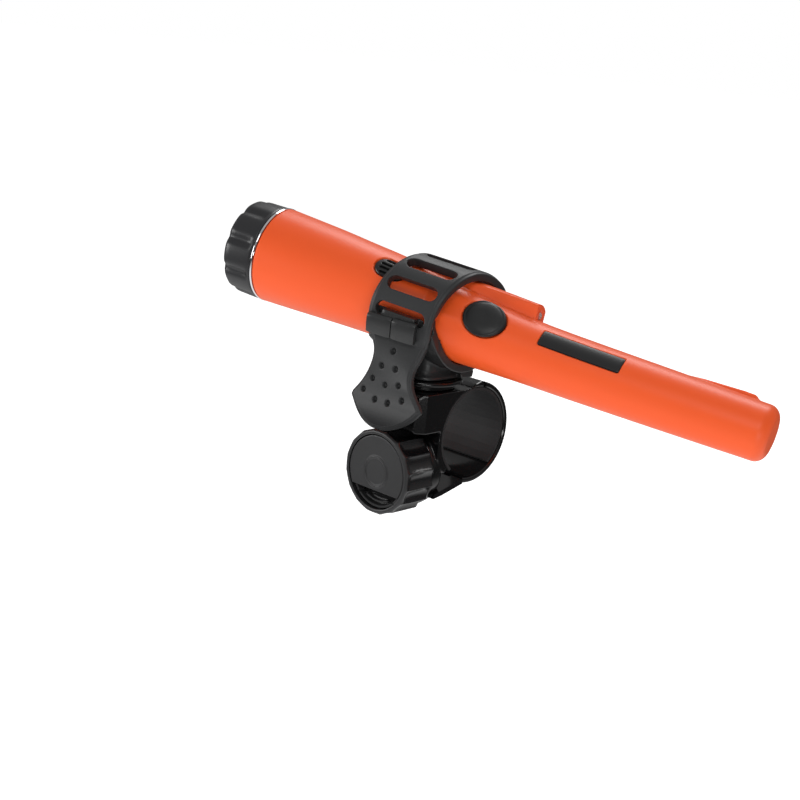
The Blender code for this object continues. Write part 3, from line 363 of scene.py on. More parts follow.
# first station, last station, spacing of the skin's rings
RING_SPANS = [
    (0.0, 0.6, 0.15), (0.6, 2, 0.35), (2, 46.5, 2.2), (46.5, 67, 0.4), (67, 83, 0.8),
    (83, 110.4, 0.4), (110.4, 113.6, 0.16), (113.6, 117.4, 0.8), (117.4, 119.6, 0.22),
    (119.6, 149.2, 1.6), (149.2, 151.4, 0.22), (151.4, 170, 2.0), (170, 199, 0.8),
    (199, 202.0, 0.75)]
RING_POINTS = 330
TIP_START, TIP_ROUNDING = 202.0, 4.0

# angles round the probe: 0 is the front, 90 the top
BUTTON_STATION, BUTTON_ANGLE = 96.3, 41.0
BUTTON_HALF_LENGTH, BUTTON_HALF_WIDTH = 8.5, 7.15
BUTTON_ARM = 13.0          # radius that turns widths on the facet into angles
FACET_AT_BUTTON = 12.75
HOOD_ANGLE, HOOD_END = 107.0, 111.8
GRILLE_ANGLE, GRILLE_START, GRILLE_END, GRILLE_WIDTH = 52.5, 48.2, 61.4, 8.6
GRILLE_MIDDLE, GRILLE_HALF = (GRILLE_START + GRILLE_END) / 2, (GRILLE_END - GRILLE_START) / 2
PLATE_ANGLE, PLATE_START, PLATE_END, PLATE_WIDTH = 50.0, 118.4, 150.2, 6.9
PLATE_MIDDLE, PLATE_HALF = (PLATE_START + PLATE_END) / 2, (PLATE_END - PLATE_START) / 2
PLATE_CORNER = 0.7
LAMP_RADIUS = 13.9         # from the section's centre out to the lamp


def averaged(station, column):
    """Table value smoothed over 12 mm, carried on in a straight line below the first station."""
    stations, values = HOUSING_SECTIONS[:, 0], HOUSING_SECTIONS[:, column]
    x = np.asarray(station, float)[..., None] + np.linspace(-6, 6, 9)
    slope_run = stations[1] - stations[0]
    below = values[0] - (stations[0] - x) * (values[1] - values[0]) / slope_run
    return np.where(x < 0, below, np.interp(x, stations, values)).mean(-1)


def radius_at(station):
    return np.minimum(averaged(station, 1), LARGEST_RADIUS)


def centre_at(station):
    return averaged(station, 2)


LAMP_CENTRE = (
    -math.cos(math.radians(HOOD_ANGLE)) * LAMP_RADIUS + 0.1,
    float(centre_at(HOOD_END)) + math.sin(math.radians(HOOD_ANGLE)) * LAMP_RADIUS - 0.3)


def full_turn(count):
    return -180 + 360.0 * np.arange(count) / count


def cylindrical(station, angle, radius, centre=0.0):
    """Probe-frame points from station, angle and radius about the section's centre."""
    turn = np.radians(angle)
    return np.stack(np.broadcast_arrays(
        station, -radius * np.cos(turn), centre + radius * np.sin(turn)), -1)


def facet(station, angle):
    """Radius of the flat facet the button sits on."""
    distance = np.interp(station, [60.0, 74.0, BUTTON_STATION, 110.0, 124.0],
                         [14.35, 13.75, FACET_AT_BUTTON, 12.07, 12.0])
    return distance / np.cos(np.radians(np.clip(angle - BUTTON_ANGLE, -64, 64)))


def soft_min(x, y, blend):
    h = np.clip(0.5 + 0.5 * (y - x) / blend, 0.0, 1.0)
    return y * (1 - h) + x * h - blend * h * (1 - h)


def rounded_box(dx, dy, half_x, half_y, corner):
    """Signed distance to a rectangle with round corners: negative inside."""
    return np.hypot(np.maximum(np.abs(dx) - (half_x - corner), 0.0),
                    np.maximum(np.abs(dy) - (half_y - corner), 0.0)) - corner


def obround(dx, dy, half, radius):
    """Signed distance to a strip with half-round ends."""
    return rounded_box(dx, dy, half, radius, radius)


def with_hood(skin, station, angle):
    """Lamp hood: a ridge growing out of the top, ended by a near-vertical face."""
    off = angle - HOOD_ANGLE
    top = np.interp(station, [54, 60, 70, 80, 90, 100, 112],
                    [16.0, 16.85, 17.25, 17.55, 17.75, 17.85, 17.8])
    crown = top - 0.55 * (off / 20.0) ** 2
    foot = np.interp(station, [56.0, 80.0, 112.0], [78.5, 81.5, 88.5])
    side = ease(0.0, 6.5, angle - foot) * (1 - ease(18.5, 27.5, off))
    grow = ease(48.0, 66.0, station)
    end = HOOD_END + 0.5 * (1 - side)
    face = 1 - ease(end - 0.4, end + 0.4, station)
    ridge = skin + np.maximum(crown - skin, 0) * side * grow * face
    fillet = 0.55 * np.exp(-((angle - foot + 1.5) / 3.6) ** 2)
    return ridge + fillet * grow * face * ease(58.0, 76.0, station)


def skin_radius(station, angle):
    """Radius of the housing's skin about its section centre."""
    base = radius_at(station)
    # the facet is lifted clear of the skin outside its span
    lift = 40.0 * (1 - ease(60.0, 74.0, station)) + 40.0 * ease(109.0, 116.0, station)
    skin = soft_min(base, facet(station, angle) + lift, 0.22)
    skin = with_hood(skin, station, angle)
    # moat the button sits in
    gap = 0.35
    moat = np.hypot(
        (station - BUTTON_STATION) / (BUTTON_HALF_LENGTH + gap),
        np.radians(angle - BUTTON_ANGLE) * BUTTON_ARM / (BUTTON_HALF_WIDTH + gap))
    skin = skin - 1.1 * (1 - ease(0.965, 1.02, moat))
    # fin along the nose
    off = np.abs(angle - 106.0) * np.pi / 180 * 10.6
    fin = np.interp(station, [172, 177, 192, 196, 197.6], [0, 0.6, 1.35, 1.3, 0.0])
    skin = skin + fin * (1 - ease(0.45, 1.15, off))
    # seat of the speaker grille
    gap = 0.25
    seat = obround(station - GRILLE_MIDDLE, np.radians(angle - GRILLE_ANGLE) * base,
                   GRILLE_HALF + gap, GRILLE_WIDTH / 2 + gap)
    skin = skin - 1.3 * (1 - ease(-0.1, 0.3, seat))
    # shallow seat of the name plate
    gap = 0.12
    seat = rounded_box(station - PLATE_MIDDLE, np.radians(angle - PLATE_ANGLE) * base,
                       PLATE_HALF + gap, PLATE_WIDTH / 2 + gap, 0.8)
    skin = skin - 0.55 * (1 - ease(-0.1, 0.2, seat))
    # rounded shoulder at the trim ring
    return skin - 0.35 * (1 - ease(0.0, 0.5, station))


def neck_rings(angles):
    """Threaded neck behind the shoulder, with the seal's groove."""
    pitch = 2.0
    station, angle = np.meshgrid(np.arange(-10.0, -0.01, 0.25), angles, indexing="ij")
    thread = 0.38 * (0.5 + 0.5 * np.cos(2 * np.pi * (station / pitch - angle / 360.0)))
    thread = thread * ease(-9.8, -9.2, station) * (1 - ease(-4.6, -4.0, station))
    groove = -0.75 * ease(-3.8, -3.5, station) * (1 - ease(-1.7, -1.4, station))
    radius = 16.5 + thread + groove + 0.35 * ease(-4.4, -4.0, station)
    return cylindrical(station, angle, radius)


def tip_rings(angles):
    start_radius = float(radius_at(TIP_START))
    rings = []
    for k in range(1, 11):
        turn = math.radians(9.0 * k)
        station = TIP_START + TIP_ROUNDING * math.sin(turn)
        radius = start_radius - 0.04 * k - TIP_ROUNDING * (1 - math.cos(turn))
        rings.append(cylindrical(station, angles, radius, centre_at(station)))
    rings.append(cylindrical(206.05, angles, 3.0, centre_at(204.0)))
    return rings


def build_housing():
    angles = full_turn(RING_POINTS)
    spans = [np.arange(start, end - 1e-6, spacing) for start, end, spacing in RING_SPANS]
    stations = np.concatenate(spans + [[RING_SPANS[-1][1]]])
    station, angle = np.meshgrid(stations, angles, indexing="ij")
    skin = cylindrical(station, angle, skin_radius(station, angle), centre_at(station))
    # the bore runs from its floor back to the neck's mouth
    bore = [cylindrical(s, angles, radius, centre)
            for s, radius, centre in ((38.5, 15.2, -0.3), (-9.8, 15.45, 0.0), (-10.0, 15.6, 0.0))]
    shoulder = [cylindrical(0.0, angles, 17.4)]
    rings = np.concatenate([bore, neck_rings(angles), shoulder, skin, tip_rings(angles)])
    housing = loft("housing_shell", probe, rings, "orange", sharp=50)
    cut(housing, probe, rod("x", LAMP_CENTRE, 106.5, 116, 1.65, 24))    # lamp bore
    settle(housing, "probe", "housing")


# ---------------------------------------------------------------- pieces on the housing
# share of the button's oval, height above the facet
BUTTON_PROFILE = [
    (0.02, 1.22), (0.10, 1.24), (0.2, 1.3), (0.32, 1.36), (0.45, 1.36), (0.56, 1.3),
    (0.66, 1.2), (0.74, 1.08), (0.79, 0.97), (0.82, 0.86), (0.85, 0.83), (0.88, 0.84),
    (0.91, 0.8), (0.94, 0.68), (0.97, 0.48), (0.99, 0.25), (1.0, 0.0), (1.0, -0.6),
    (0.98, -1.0), (0.8, -1.02), (0.05, -1.02)]
# station, radius
LENS_PROFILE = [(107.5, 0.4), (107.5, 1.5), (111.2, 1.5), (111.7, 1.4), (112.1, 1.15),
                (112.35, 0.75), (112.45, 0.3)]
CHROME_PROFILE = [(-1.15, 17.4), (-1.15, 18.95), (-1.0, 19.12), (-0.75, 19.2), (-0.5, 19.15),
                  (-0.25, 18.95), (-0.25, 17.4)]
# station, radius, groove depth: from the middle of the inside out round the rim to the end face
CAP_PROFILE = [
    (-13.6, 0.3, 0), (-13.6, 16.4, 0), (-13.3, 16.9, 0), (-12.8, 17.2, 0), (-2.0, 17.2, 0),
    (-1.45, 17.3, 0), (-1.45, 18.7, 0), (-1.6, 18.9, 0), (-1.9, 19.0, 0), (-2.5, 19.02, 0.05),
    (-2.9, 19.02, 0.35), (-3.4, 19.02, 0.8), (-4.2, 19.02, 1.1), (-6.0, 19.0, 1.15),
    (-9.0, 18.95, 1.15), (-11.4, 18.9, 1.15), (-12.6, 18.8, 1.15), (-13.4, 18.55, 1.1),
    (-14.1, 18.05, 1.0), (-14.7, 17.3, 0.85), (-15.2, 16.3, 0.6), (-15.5, 15.2, 0.3),
    (-15.65, 14.0, 0.1), (-15.7, 12.6, 0), (-15.55, 12.2, 0), (-15.2, 12.0, 0),
    (-15.1, 11.4, 0), (-15.1, 4.0, 0), (-15.1, 0.3, 0)]
CAP_GROOVES, CAP_GROOVE_ANGLE = 9, 17.0


def build_button():
    """Power button: a low rubber dome following the facet."""
    turn = 2 * np.pi * np.arange(110) / 110
    rings = []
    for share, height in BUTTON_PROFILE:
        station = BUTTON_STATION + share * BUTTON_HALF_LENGTH * np.cos(turn)
        width = share * BUTTON_HALF_WIDTH * np.sin(turn)
        angle = BUTTON_ANGLE + np.degrees(width / BUTTON_ARM)
        flat = facet(station, angle)
        flat = np.minimum(flat, FACET_AT_BUTTON + (flat - FACET_AT_BUTTON) * 0.8)
        radius = np.minimum(flat, radius_at(station) + 0.9) + height - 0.1
        rings.append(cylindrical(station, angle, radius, centre_at(station)))
    settle(loft("button_dome", probe, rings, "button", sharp=60), "button", "power_button")


def insert(name, start, end, width, corner, angle, height, bottom, station_step, width_step):
    """Curved insert: a top skin shaped by height(station, width), walled down to bottom."""
    length = end - start
    stations = np.arange(start, end + 1e-6, length / round(length / station_step))
    widths = np.arange(-width / 2, width / 2 + 1e-6, width / round(width / width_step))
    station, across = np.meshgrid(stations, widths, indexing="ij")
    # rows are shortened near the sides to round the corners
    beyond = np.maximum(0.0, np.abs(across) - (width / 2 - corner))
    inset = corner - np.sqrt(np.maximum(0.0, corner ** 2 - beyond ** 2))
    middle, half = (start + end) / 2, length / 2
    station = middle + (station - middle) / half * (half - inset)
    base, centre = radius_at(station), centre_at(station)
    turn = angle + np.degrees(across / base)
    top = cylindrical(station, turn, base + height(station, across), centre)
    under = cylindrical(station, turn, base + bottom, centre)
    count = station.size
    index = np.arange(count).reshape(station.shape)
    quads = np.stack([index[:-1, :-1], index[:-1, 1:], index[1:, 1:], index[1:, :-1]], -1)
    faces = []
    for quad in quads.reshape(-1, 4):
        faces += [quad, quad[[0, 3, 2, 1]] + count]
    border = np.concatenate([index[:, 0], index[-1, 1:], index[-2::-1, -1], index[0, -2:0:-1]])
    for p, q in zip(border, np.roll(border, -1)):
        faces.append((p, q, count + q, count + p))
    return make(name, probe(np.stack([top, under])), faces, "plate", 50)


def grille_height(station, across):
    """Four lengthwise slots, the outer two shorter, and a lowered edge."""
    height = np.full_like(station, 0.05)
    for middle, shortening in ((-3.0, 3.1), (-1.0, 2.0), (1.0, 2.0), (3.0, 3.1)):
        slot = obround(station - GRILLE_MIDDLE, across - middle, GRILLE_HALF - shortening, 0.5)
        height = height - 1.1 * (1 - ease(-0.15, 0.15, slot))
    edge = obround(station - GRILLE_MIDDLE, across, GRILLE_HALF, GRILLE_WIDTH / 2)
    return height - 0.35 * ease(-0.6, 0.0, edge)


def plate_height(station, across):
    edge = rounded_box(station - PLATE_MIDDLE, across, PLATE_HALF, PLATE_WIDTH / 2, PLATE_CORNER)
    return 0.08 - 0.22 * ease(-0.35, 0.0, edge)


def build_inserts():
    """Speaker grille and name plate."""
    grille = insert("grille_insert", GRILLE_START, GRILLE_END, GRILLE_WIDTH,
                    corner=GRILLE_WIDTH / 2 - 0.01, angle=GRILLE_ANGLE, height=grille_height,
                    bottom=-1.25, station_step=0.2, width_step=0.12)
    settle(grille, "probe", "speaker_grille")
    plate = insert("name_plate_blank", PLATE_START, PLATE_END, PLATE_WIDTH,
                   corner=PLATE_CORNER, angle=PLATE_ANGLE, height=plate_height,
                   bottom=-0.5, station_step=0.5, width_step=0.15)
    settle(plate, "probe", "name_plate")


def build_lens():
    """A clear dome standing in the lamp bore."""
    rings = circles("x", LAMP_CENTRE, LENS_PROFILE, 28)
    settle(loft("lamp_lens_dome", probe, rings, "lens", sharp=60), "probe", "lamp_lens")


def turned(name, profile, look, count):
    """Ring turned about the probe's axis from a closed (station, radius) chain."""
    rings = [cylindrical(station, full_turn(count), radius) for station, radius in profile]
    return loft(name, probe, rings, look, closed=True)


def build_cap():
    """Trim ring, grooved battery cap and the seal in the neck's groove."""
    settle(turned("chrome_ring", CHROME_PROFILE, "chrome", 200), "probe", "trim_ring")

    angles = full_turn(360)
    groove = (0.5 + 0.5 * np.cos(np.radians(CAP_GROOVES * (angles - CAP_GROOVE_ANGLE)))) ** 5
    rings = [cylindrical(station, angles, radius - depth * groove)
             for station, radius, depth in CAP_PROFILE]
    settle(loft("cap_shell", probe, rings, "cap", sharp=50), "cap", "battery_cap")

    profile = [(-3.3 + 0.7 + 0.7 * math.cos(turn), 16.4 + 0.5 * math.sin(turn))
               for turn in np.linspace(0, 2 * np.pi, 13)[:-1]]
    settle(turned("neck_seal", profile, "rubber", 120), "probe", "cap_o_ring")


# ================================================================ strap and tab
LOOP_HEIGHT = -1.3         # z of the loop's axis in the probe's frame
LOOP_RADIUS = 19.6
LOOP_ANGLES = np.arange(188.0, -30.1, -3.0)
STRAP_STATION = 67.8
THICKNESS = 2.15
# hanging tab: z, x of the middle, half width, y, then the width line's y and z per unit of x
TAB_SECTIONS = [
    (33.6, 3.3, 10.6, -36.7, 0.22, -0.18), (30.9, 3.4, 9.9, -37.4, 0.15, -0.2),
    (28.0, 3.3, 9.8, -38.0, 0.09, -0.18), (24.8, 3.0, 10.6, -38.3, 0.04, -0.13),
    (21.4, 2.7, 12.3, -38.5, 0.0, -0.07), (18.0, 2.4, 14.6, -38.6, 0.0, -0.02),
    (15.4, 2.2, 16.9, -38.8, 0.0, 0.01), (13.3, 2.1, 18.2, -39.1, 0.0, 0.015)]
# the tab's lower edge is an arc
FAN_X, FAN_Z, FAN_RADIUS = 2.0, 25.85, 22.05
FAN_HEIGHTS = (12.2, 11.0, 9.6, 8.2, 6.9, 5.8, 4.9, 4.3, 3.95)
LOOP_SAMPLES = 150
SLOT_COUNT, SLOT_PITCH, SLOT_LENGTH, SLOT_ANGLE = 5, 30.0, 20.8, 16.4
EYE_ANGLE = 203.0
EYE_HALF = 9.25
# y from the tab's face, radius
DIMPLE_PROFILE = [(-3.0, 1.42), (-0.1, 1.36), (0.25, 1.15), (1.2, 0.85), (1.5, 0.35)]


def strap_station(angle):
    """Station of the strap's middle at an angle round the loop."""
    bulge = ease(88.0, 148.0, angle) * (1 - ease(156.0, 186.0, angle))
    return STRAP_STATION + 8.2 * ease(0.0, 140.0, angle) + 3.2 * bulge


def loop_point(station, radius, angle):
    """Pole-axis point from station, radius and angle about the loop's axis."""
    turn = math.radians(angle)
    return probe_mm([station, -radius * math.cos(turn), LOOP_HEIGHT + radius * math.sin(turn)])


EYE_STATION = float(strap_station(EYE_ANGLE))
EYE_CENTRE = to_probe(loop_point(EYE_STATION, 19.4, EYE_ANGLE))[1:]


def strap_controls():
    """Centres and half-width vectors of the strap's sections: the loop, then the tab."""
    centres, widths = [], []
    for angle in LOOP_ANGLES:
        narrowing = max(0.0, angle - 152) * 0.12 + max(0.0, -15.0 - angle) * 0.07
        centres.append(loop_point(strap_station(angle), LOOP_RADIUS, angle))
        widths.append(ALONG * max(9.3, 13.4 - narrowing))
    for z, x, half, y, turn, dip in TAB_SECTIONS:
        centres.append((x, y + THICKNESS / 2, z))
        widths.append((half, half * turn, half * dip))
    last_z, last_y = TAB_SECTIONS[-1][0], TAB_SECTIONS[-1][3]
    for z in FAN_HEIGHTS:
        half = math.sqrt(FAN_RADIUS ** 2 - (z - FAN_Z) ** 2)
        k = (last_z - z) / 9.4
        centres.append((FAN_X - 0.3 * k, last_y - 1.2 * k - 2.6 * k * k + THICKNESS / 2, z))
        widths.append((half, 0, 0.01 * half))
    return np.array(centres), np.array(widths)


def curve_through(points, knots, wanted):
    """Cubic through the points, whose slopes come from each point's neighbours."""
    i = np.clip(np.searchsorted(knots, wanted) - 1, 0, len(knots) - 2)
    before, after, beyond = np.maximum(i - 1, 0), i + 1, np.minimum(i + 2, len(knots) - 1)
    span = (knots[after] - knots[i])[:, None]
    u = (wanted - knots[i])[:, None] / span

    def slope(start, end):
        return (points[end] - points[start]) / (knots[end] - knots[start])[:, None] * span

    return ((2 * u ** 3 - 3 * u ** 2 + 1) * points[i]
            + (u ** 3 - 2 * u ** 2 + u) * slope(before, after)
            + (-2 * u ** 3 + 3 * u ** 2) * points[after]
            + (u ** 3 - u ** 2) * slope(i, beyond))


def strap_section(half, extra):
    """Strip with a step along each edge: (across, through) pairs; extra thickens it inwards."""
    face, low = THICKNESS / 2 + 0.12, -THICKNESS / 2 - extra
    across = np.linspace(-(half - 1.55), half - 1.55, 15)
    top = np.stack([across, np.full(15, face)], -1)
    right = np.array([
        (half - 1.4, face - 0.03), (half - 1.22, face - 0.42), (half - 1.05, face - 0.5),
        (half - 0.5, face - 0.52), (half - 0.2, face - 0.66), (half - 0.02, face - 1.0),
        (half, face - 1.3), (half, low + 0.55), (half - 0.12, low + 0.2), (half - 0.5, low + 0.02)])
    across = np.linspace(half - 1.2, -(half - 1.2), 15)
    bottom = np.stack([across, np.full(15, low)], -1)
    left = right[::-1] * np.array([-1.0, 1.0])
    return np.concatenate([top, right, bottom, left])


def strap_band():
    """The strap's skin, with its section centres and their directions across."""
    centres, widths = strap_controls()
    knots = np.r_[0, np.cumsum(np.linalg.norm(np.diff(centres, axis=0), axis=1))]
    loop_end, end = knots[len(LOOP_ANGLES) - 1], knots[-1]
    path = np.concatenate([np.linspace(0, loop_end, LOOP_SAMPLES),
                           np.arange(loop_end + 0.4, end, 0.35), [end]])
    centres = curve_through(centres, knots, path)
    widths = curve_through(widths, knots, path)
    across = unit(widths)
    outward = unit(np.cross(across, unit(np.gradient(centres, axis=0))))
    # outward is away from the loop's axis on the loop, towards -Y on the tab
    local = to_probe(centres)
    away = local[:, 1:2] * ACROSS + (local[:, 2:3] - LOOP_HEIGHT) * UP
    facing = np.where(path > loop_end, -outward[:, 1], (outward * away).sum(1))
    outward = outward * np.where(facing < 0, -1.0, 1.0)[:, None]
    angles = 188.0 - (188.0 + 29.0) * np.clip(path / loop_end, 0, 1)
    extra = 1.35 * ease(4.0, 13.0, angles) * (1 - ease(150.0, 172.0, angles))
    extra = extra + (0.3 * ease(loop_end + 3.0, loop_end + 9.0, path)
                     * (1 - 0.6 * ease(end - 7.0, end, path)))
    rings = []
    for i, half in enumerate(np.linalg.norm(widths, axis=1)):
        section = strap_section(half, extra[i])
        rings.append(centres[i] + section[:, :1] * across[i] + section[:, 1:] * outward[i])
    return loft("strap_band", world, rings, "rubber"), centres, across


def strap_eye():
    """Rolled eye at the strap's rear end, and the web that joins it on."""
    stations = np.linspace(EYE_STATION - EYE_HALF, EYE_STATION + EYE_HALF, 30)
    eye = loft("eye", probe, circles("x", EYE_CENTRE, [(s, 2.65) for s in stations], 32), "rubber")
    corners = ((-EYE_HALF, 18.55), (-EYE_HALF, 20.65), (EYE_HALF, 20.65), (EYE_HALF, 18.55))
    rings = [[loop_point(EYE_STATION + offset, radius, angle) for offset, radius in corners]
             for angle in np.linspace(186, 200, 6)]
    return [eye, loft("web", world, rings, "rubber")]


def step_fan_border(strap):
    """Narrow border round the fan's lower edge, stepped back from its face."""
    vertices = strap.data.vertices
    points, normals = np.empty(len(vertices) * 3), np.empty(len(vertices) * 3)
    vertices.foreach_get("co", points)
    vertices.foreach_get("normal", normals)
    points, normals = points.reshape(-1, 3), normals.reshape(-1, 3)
    x, _, z = (points / MM - DROP).T
    inside = FAN_RADIUS - np.hypot(x - FAN_X, z - FAN_Z)
    front = ease(0.15, 0.5, -normals[:, 1] + 0.3 * normals[:, 2]) * (1 - ease(13.0, 15.0, z))
    points[:, 1] += 0.5 * MM * front * (1 - ease(1.0, 1.35, inside))
    vertices.foreach_set("co", points.ravel())
    strap.data.update()


def slot_rings(angle):
    """Round-ended slot through the loop at an angle, lying along the probe."""
    middle = loop_point(float(strap_station(angle)), LOOP_RADIUS, angle)
    turn = math.radians(angle)
    outward = -math.cos(turn) * ACROSS + math.sin(turn) * UP
    around = np.cross(outward, ALONG)
    radius = LOOP_RADIUS * math.sin(math.radians(SLOT_ANGLE / 2))
    straight = SLOT_LENGTH / 2 - radius
    outline = []
    for side in (1, -1):
        for i in range(15):
            q = -math.pi / 2 + math.pi * i / 14
            outline.append((side * (straight + radius * math.cos(q)), side * radius * math.sin(q)))
    return [[middle + x * ALONG + y * around + z * outward for x, y in outline]
            for z in (-3.6, 3.6)]


def cut_dimples(strap, centres, across):
    """Triangle of dimples in the tab's face: one at the top, four at the bottom."""
    for row in range(4):
        for k in range(row + 1):
            offset = (k - row / 2) * 6.7
            x, z = 2.9 - 0.7 * row + offset, 33.4 - 6.6 * row + 0.027 * offset * offset
            distances = np.linalg.norm(centres[LOOP_SAMPLES:] - np.array([x, -38, z]), axis=1)
            i = int(np.argmin(distances)) + LOOP_SAMPLES
            lean = across[i][1] / across[i][0]
            face = centres[i][1] + (x - centres[i][0]) * lean - THICKNESS / 2 - 0.05
            profile = [(face + y, radius) for y, radius in DIMPLE_PROFILE]
            cut(strap, world, circles("y", (x, z), profile, 18))


def build_strap():
    strap, centres, across = strap_band()
    join_into(strap, strap_eye())
    remesh(strap, voxel=0.00024, smoothing=1, factor=0.4)
    step_fan_border(strap)
    for k in range(SLOT_COUNT):
        cut(strap, world, slot_rings(2.0 + SLOT_PITCH * k))
    cut(strap, probe, rod("x", EYE_CENTRE, EYE_STATION - 12, EYE_STATION + 12, 1.5, 24))
    cut_dimples(strap, centres, across)
    remesh(strap, voxel=0.00021, smoothing=2, factor=0.45)
    strap.name = "strap_and_pull_tab"
    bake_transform(strap)
    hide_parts("strap", "strap_pull_tab")


# ================================================================ cradle
SWIVEL_CENTRE = (0.0, -16.5)       # x, y of the swivel's upright axis
HOOK_STATION = STRAP_STATION - 1.6
# z, half length along X, half width along Y
FOOT_SECTIONS = [(34.5, 11.5, 10.5), (31.0, 11.0, 10.2), (28.0, 10.9, 10.0), (25.5, 11.2, 10.2),
                 (24.3, 11.9, 10.8), (23.5, 12.6, 11.6), (22.45, 12.8, 11.8)]
# y, z
LUG_OUTLINE = [(-10.2, 27.5), (-4.0, 26.5), (-3.2, 24.6), (-3.8, 22.6), (-9.6, 22.5),
               (-10.6, 24.0)]
# radius about the loop's axis, angle from the eye
EAR_OUTLINE = [(17.1, -10.0), (17.1, 12.0), (19.0, 11.5), (21.4, 5.5), (22.2, 1.0),
               (21.9, -4.0), (20.6, -8.0), (19.0, -10.5)]
# radius about the loop's axis, share of the way from the bar's top to its foot
BAR_OUTLINE = [(21.1, 0.0), (21.1, 0.34), (21.1, 0.67), (21.1, 1.0), (21.7, 1.03), (22.6, 1.02),
               (23.2, 0.98), (23.35, 0.9), (23.4, 0.5), (23.4, 0.18), (23.15, 0.07),
               (22.5, 0.01), (21.6, -0.02)]


def station_for(x, y, z):
    """Station where a probe-frame section point has the given pole-axis x."""
    return (x - PROBE_ORIGIN[0] - ACROSS[0] * y - UP[0] * z) / ALONG[0]


def square_point(x, radius, angle):
    """Probe-frame point about the loop's axis, in a plane square to the pole."""
    turn = math.radians(angle)
    y, z = -radius * math.cos(turn), LOOP_HEIGHT + radius * math.sin(turn)
    return station_for(x, y, z), y, z


def fit_radius(x, angle, clearance=0.45, limit=17.0):
    """Radius about the loop's axis that clears the housing."""
    turn = math.radians(angle)
    y, z = -math.cos(turn), math.sin(turn)
    station = station_for(x, y * 16, LOOP_HEIGHT + z * 16)
    radius, rise = float(radius_at(station)), float(centre_at(station)) - LOOP_HEIGHT
    return min(z * rise + math.sqrt(radius * radius - (y * rise) ** 2) + clearance, limit)


def saddle(name, start, ends, first_angles, last_angle, outer, inner=fit_radius,
           count=60, steps=14):
    """Curved saddle between x planes.

    The far end lies at ends[0] in x, drawn to ends[1] towards low angles, and the first
    angle runs between its two values along the saddle.
    """
    rings = []
    for k in range(steps + 1):
        f = k / steps
        first = first_angles[0] + (first_angles[1] - first_angles[0]) * f
        angles = np.linspace(first, last_angle, count)
        far = ends[0] + (ends[1] - ends[0]) * (1 - ease(-32.0, 4.0, angles))
        planes = list(zip(start + (far - start) * f, angles))
        outside = [square_point(x, outer, angle) for x, angle in planes]
        inside = [square_point(x, inner(x, angle), angle) for x, angle in planes]
        rings.append(outside + inside[::-1])
    return loft(name, probe, rings, "cradle")


def foot():
    """Neck flaring from the saddle down to the swivel disc."""
    turn = np.linspace(0, 2 * np.pi, 49)[:-1]
    squareness = 0.55
    x = np.abs(np.cos(turn)) ** squareness * np.sign(np.cos(turn))
    y = np.abs(np.sin(turn)) ** squareness * np.sign(np.sin(turn))
    rings = [on_axis("z", z, np.stack([half_x * x, SWIVEL_CENTRE[1] + half_y * y], -1))
             for z, half_x, half_y in FOOT_SECTIONS]
    return loft("foot", world, rings, "cradle")


def hook_block(name, start, end, section):
    """Block of (radius, angle) corners run along the probe, drawn in at its ends."""
    middle_radius, middle_angle = np.mean(section, axis=0)
    rings = []
    for offset in np.linspace(start, end, 12):
        edge = min(offset - start, end - offset)
        shrink = 0.0 if edge > 0.9 else 0.45 * (1 - edge / 0.9) ** 2
        rings.append([loop_point(HOOK_STATION + offset,
                                 radius + (middle_radius - radius) * shrink * 0.35,
                                 angle + (middle_angle - angle) * shrink * 0.12)
                      for radius, angle in section])
    return loft(name, world, rings, "cradle")


def hook_bar(name, start, end):
    """Half of the hook's bar: flat front, rounded top; top and foot run slightly askew."""
    rings = []
    for offset in np.linspace(start, end, 9):
        f = (offset + 10.5) / 21.0
        top, low = -4.6 + 3.6 * f, -25.0 + 2.6 * f
        tuck = 0.28 if min(offset - start, end - offset) < 0.05 else 0.0
        rings.append([loop_point(HOOK_STATION + offset, radius - tuck * (radius > 22),
                                 top + (low - top) * share - 1.5 * tuck * (0.5 - share))
                      for radius, share in BAR_OUTLINE])
    return loft(name, world, rings, "cradle")


def ear(start, end):
    """Ear for the anchor pin."""
    rings = [[loop_point(EYE_STATION + offset, radius, EYE_ANGLE + angle)
              for radius, angle in EAR_OUTLINE] for offset in np.linspace(start, end, 5)]
    return loft("ear", world, rings, "cradle")


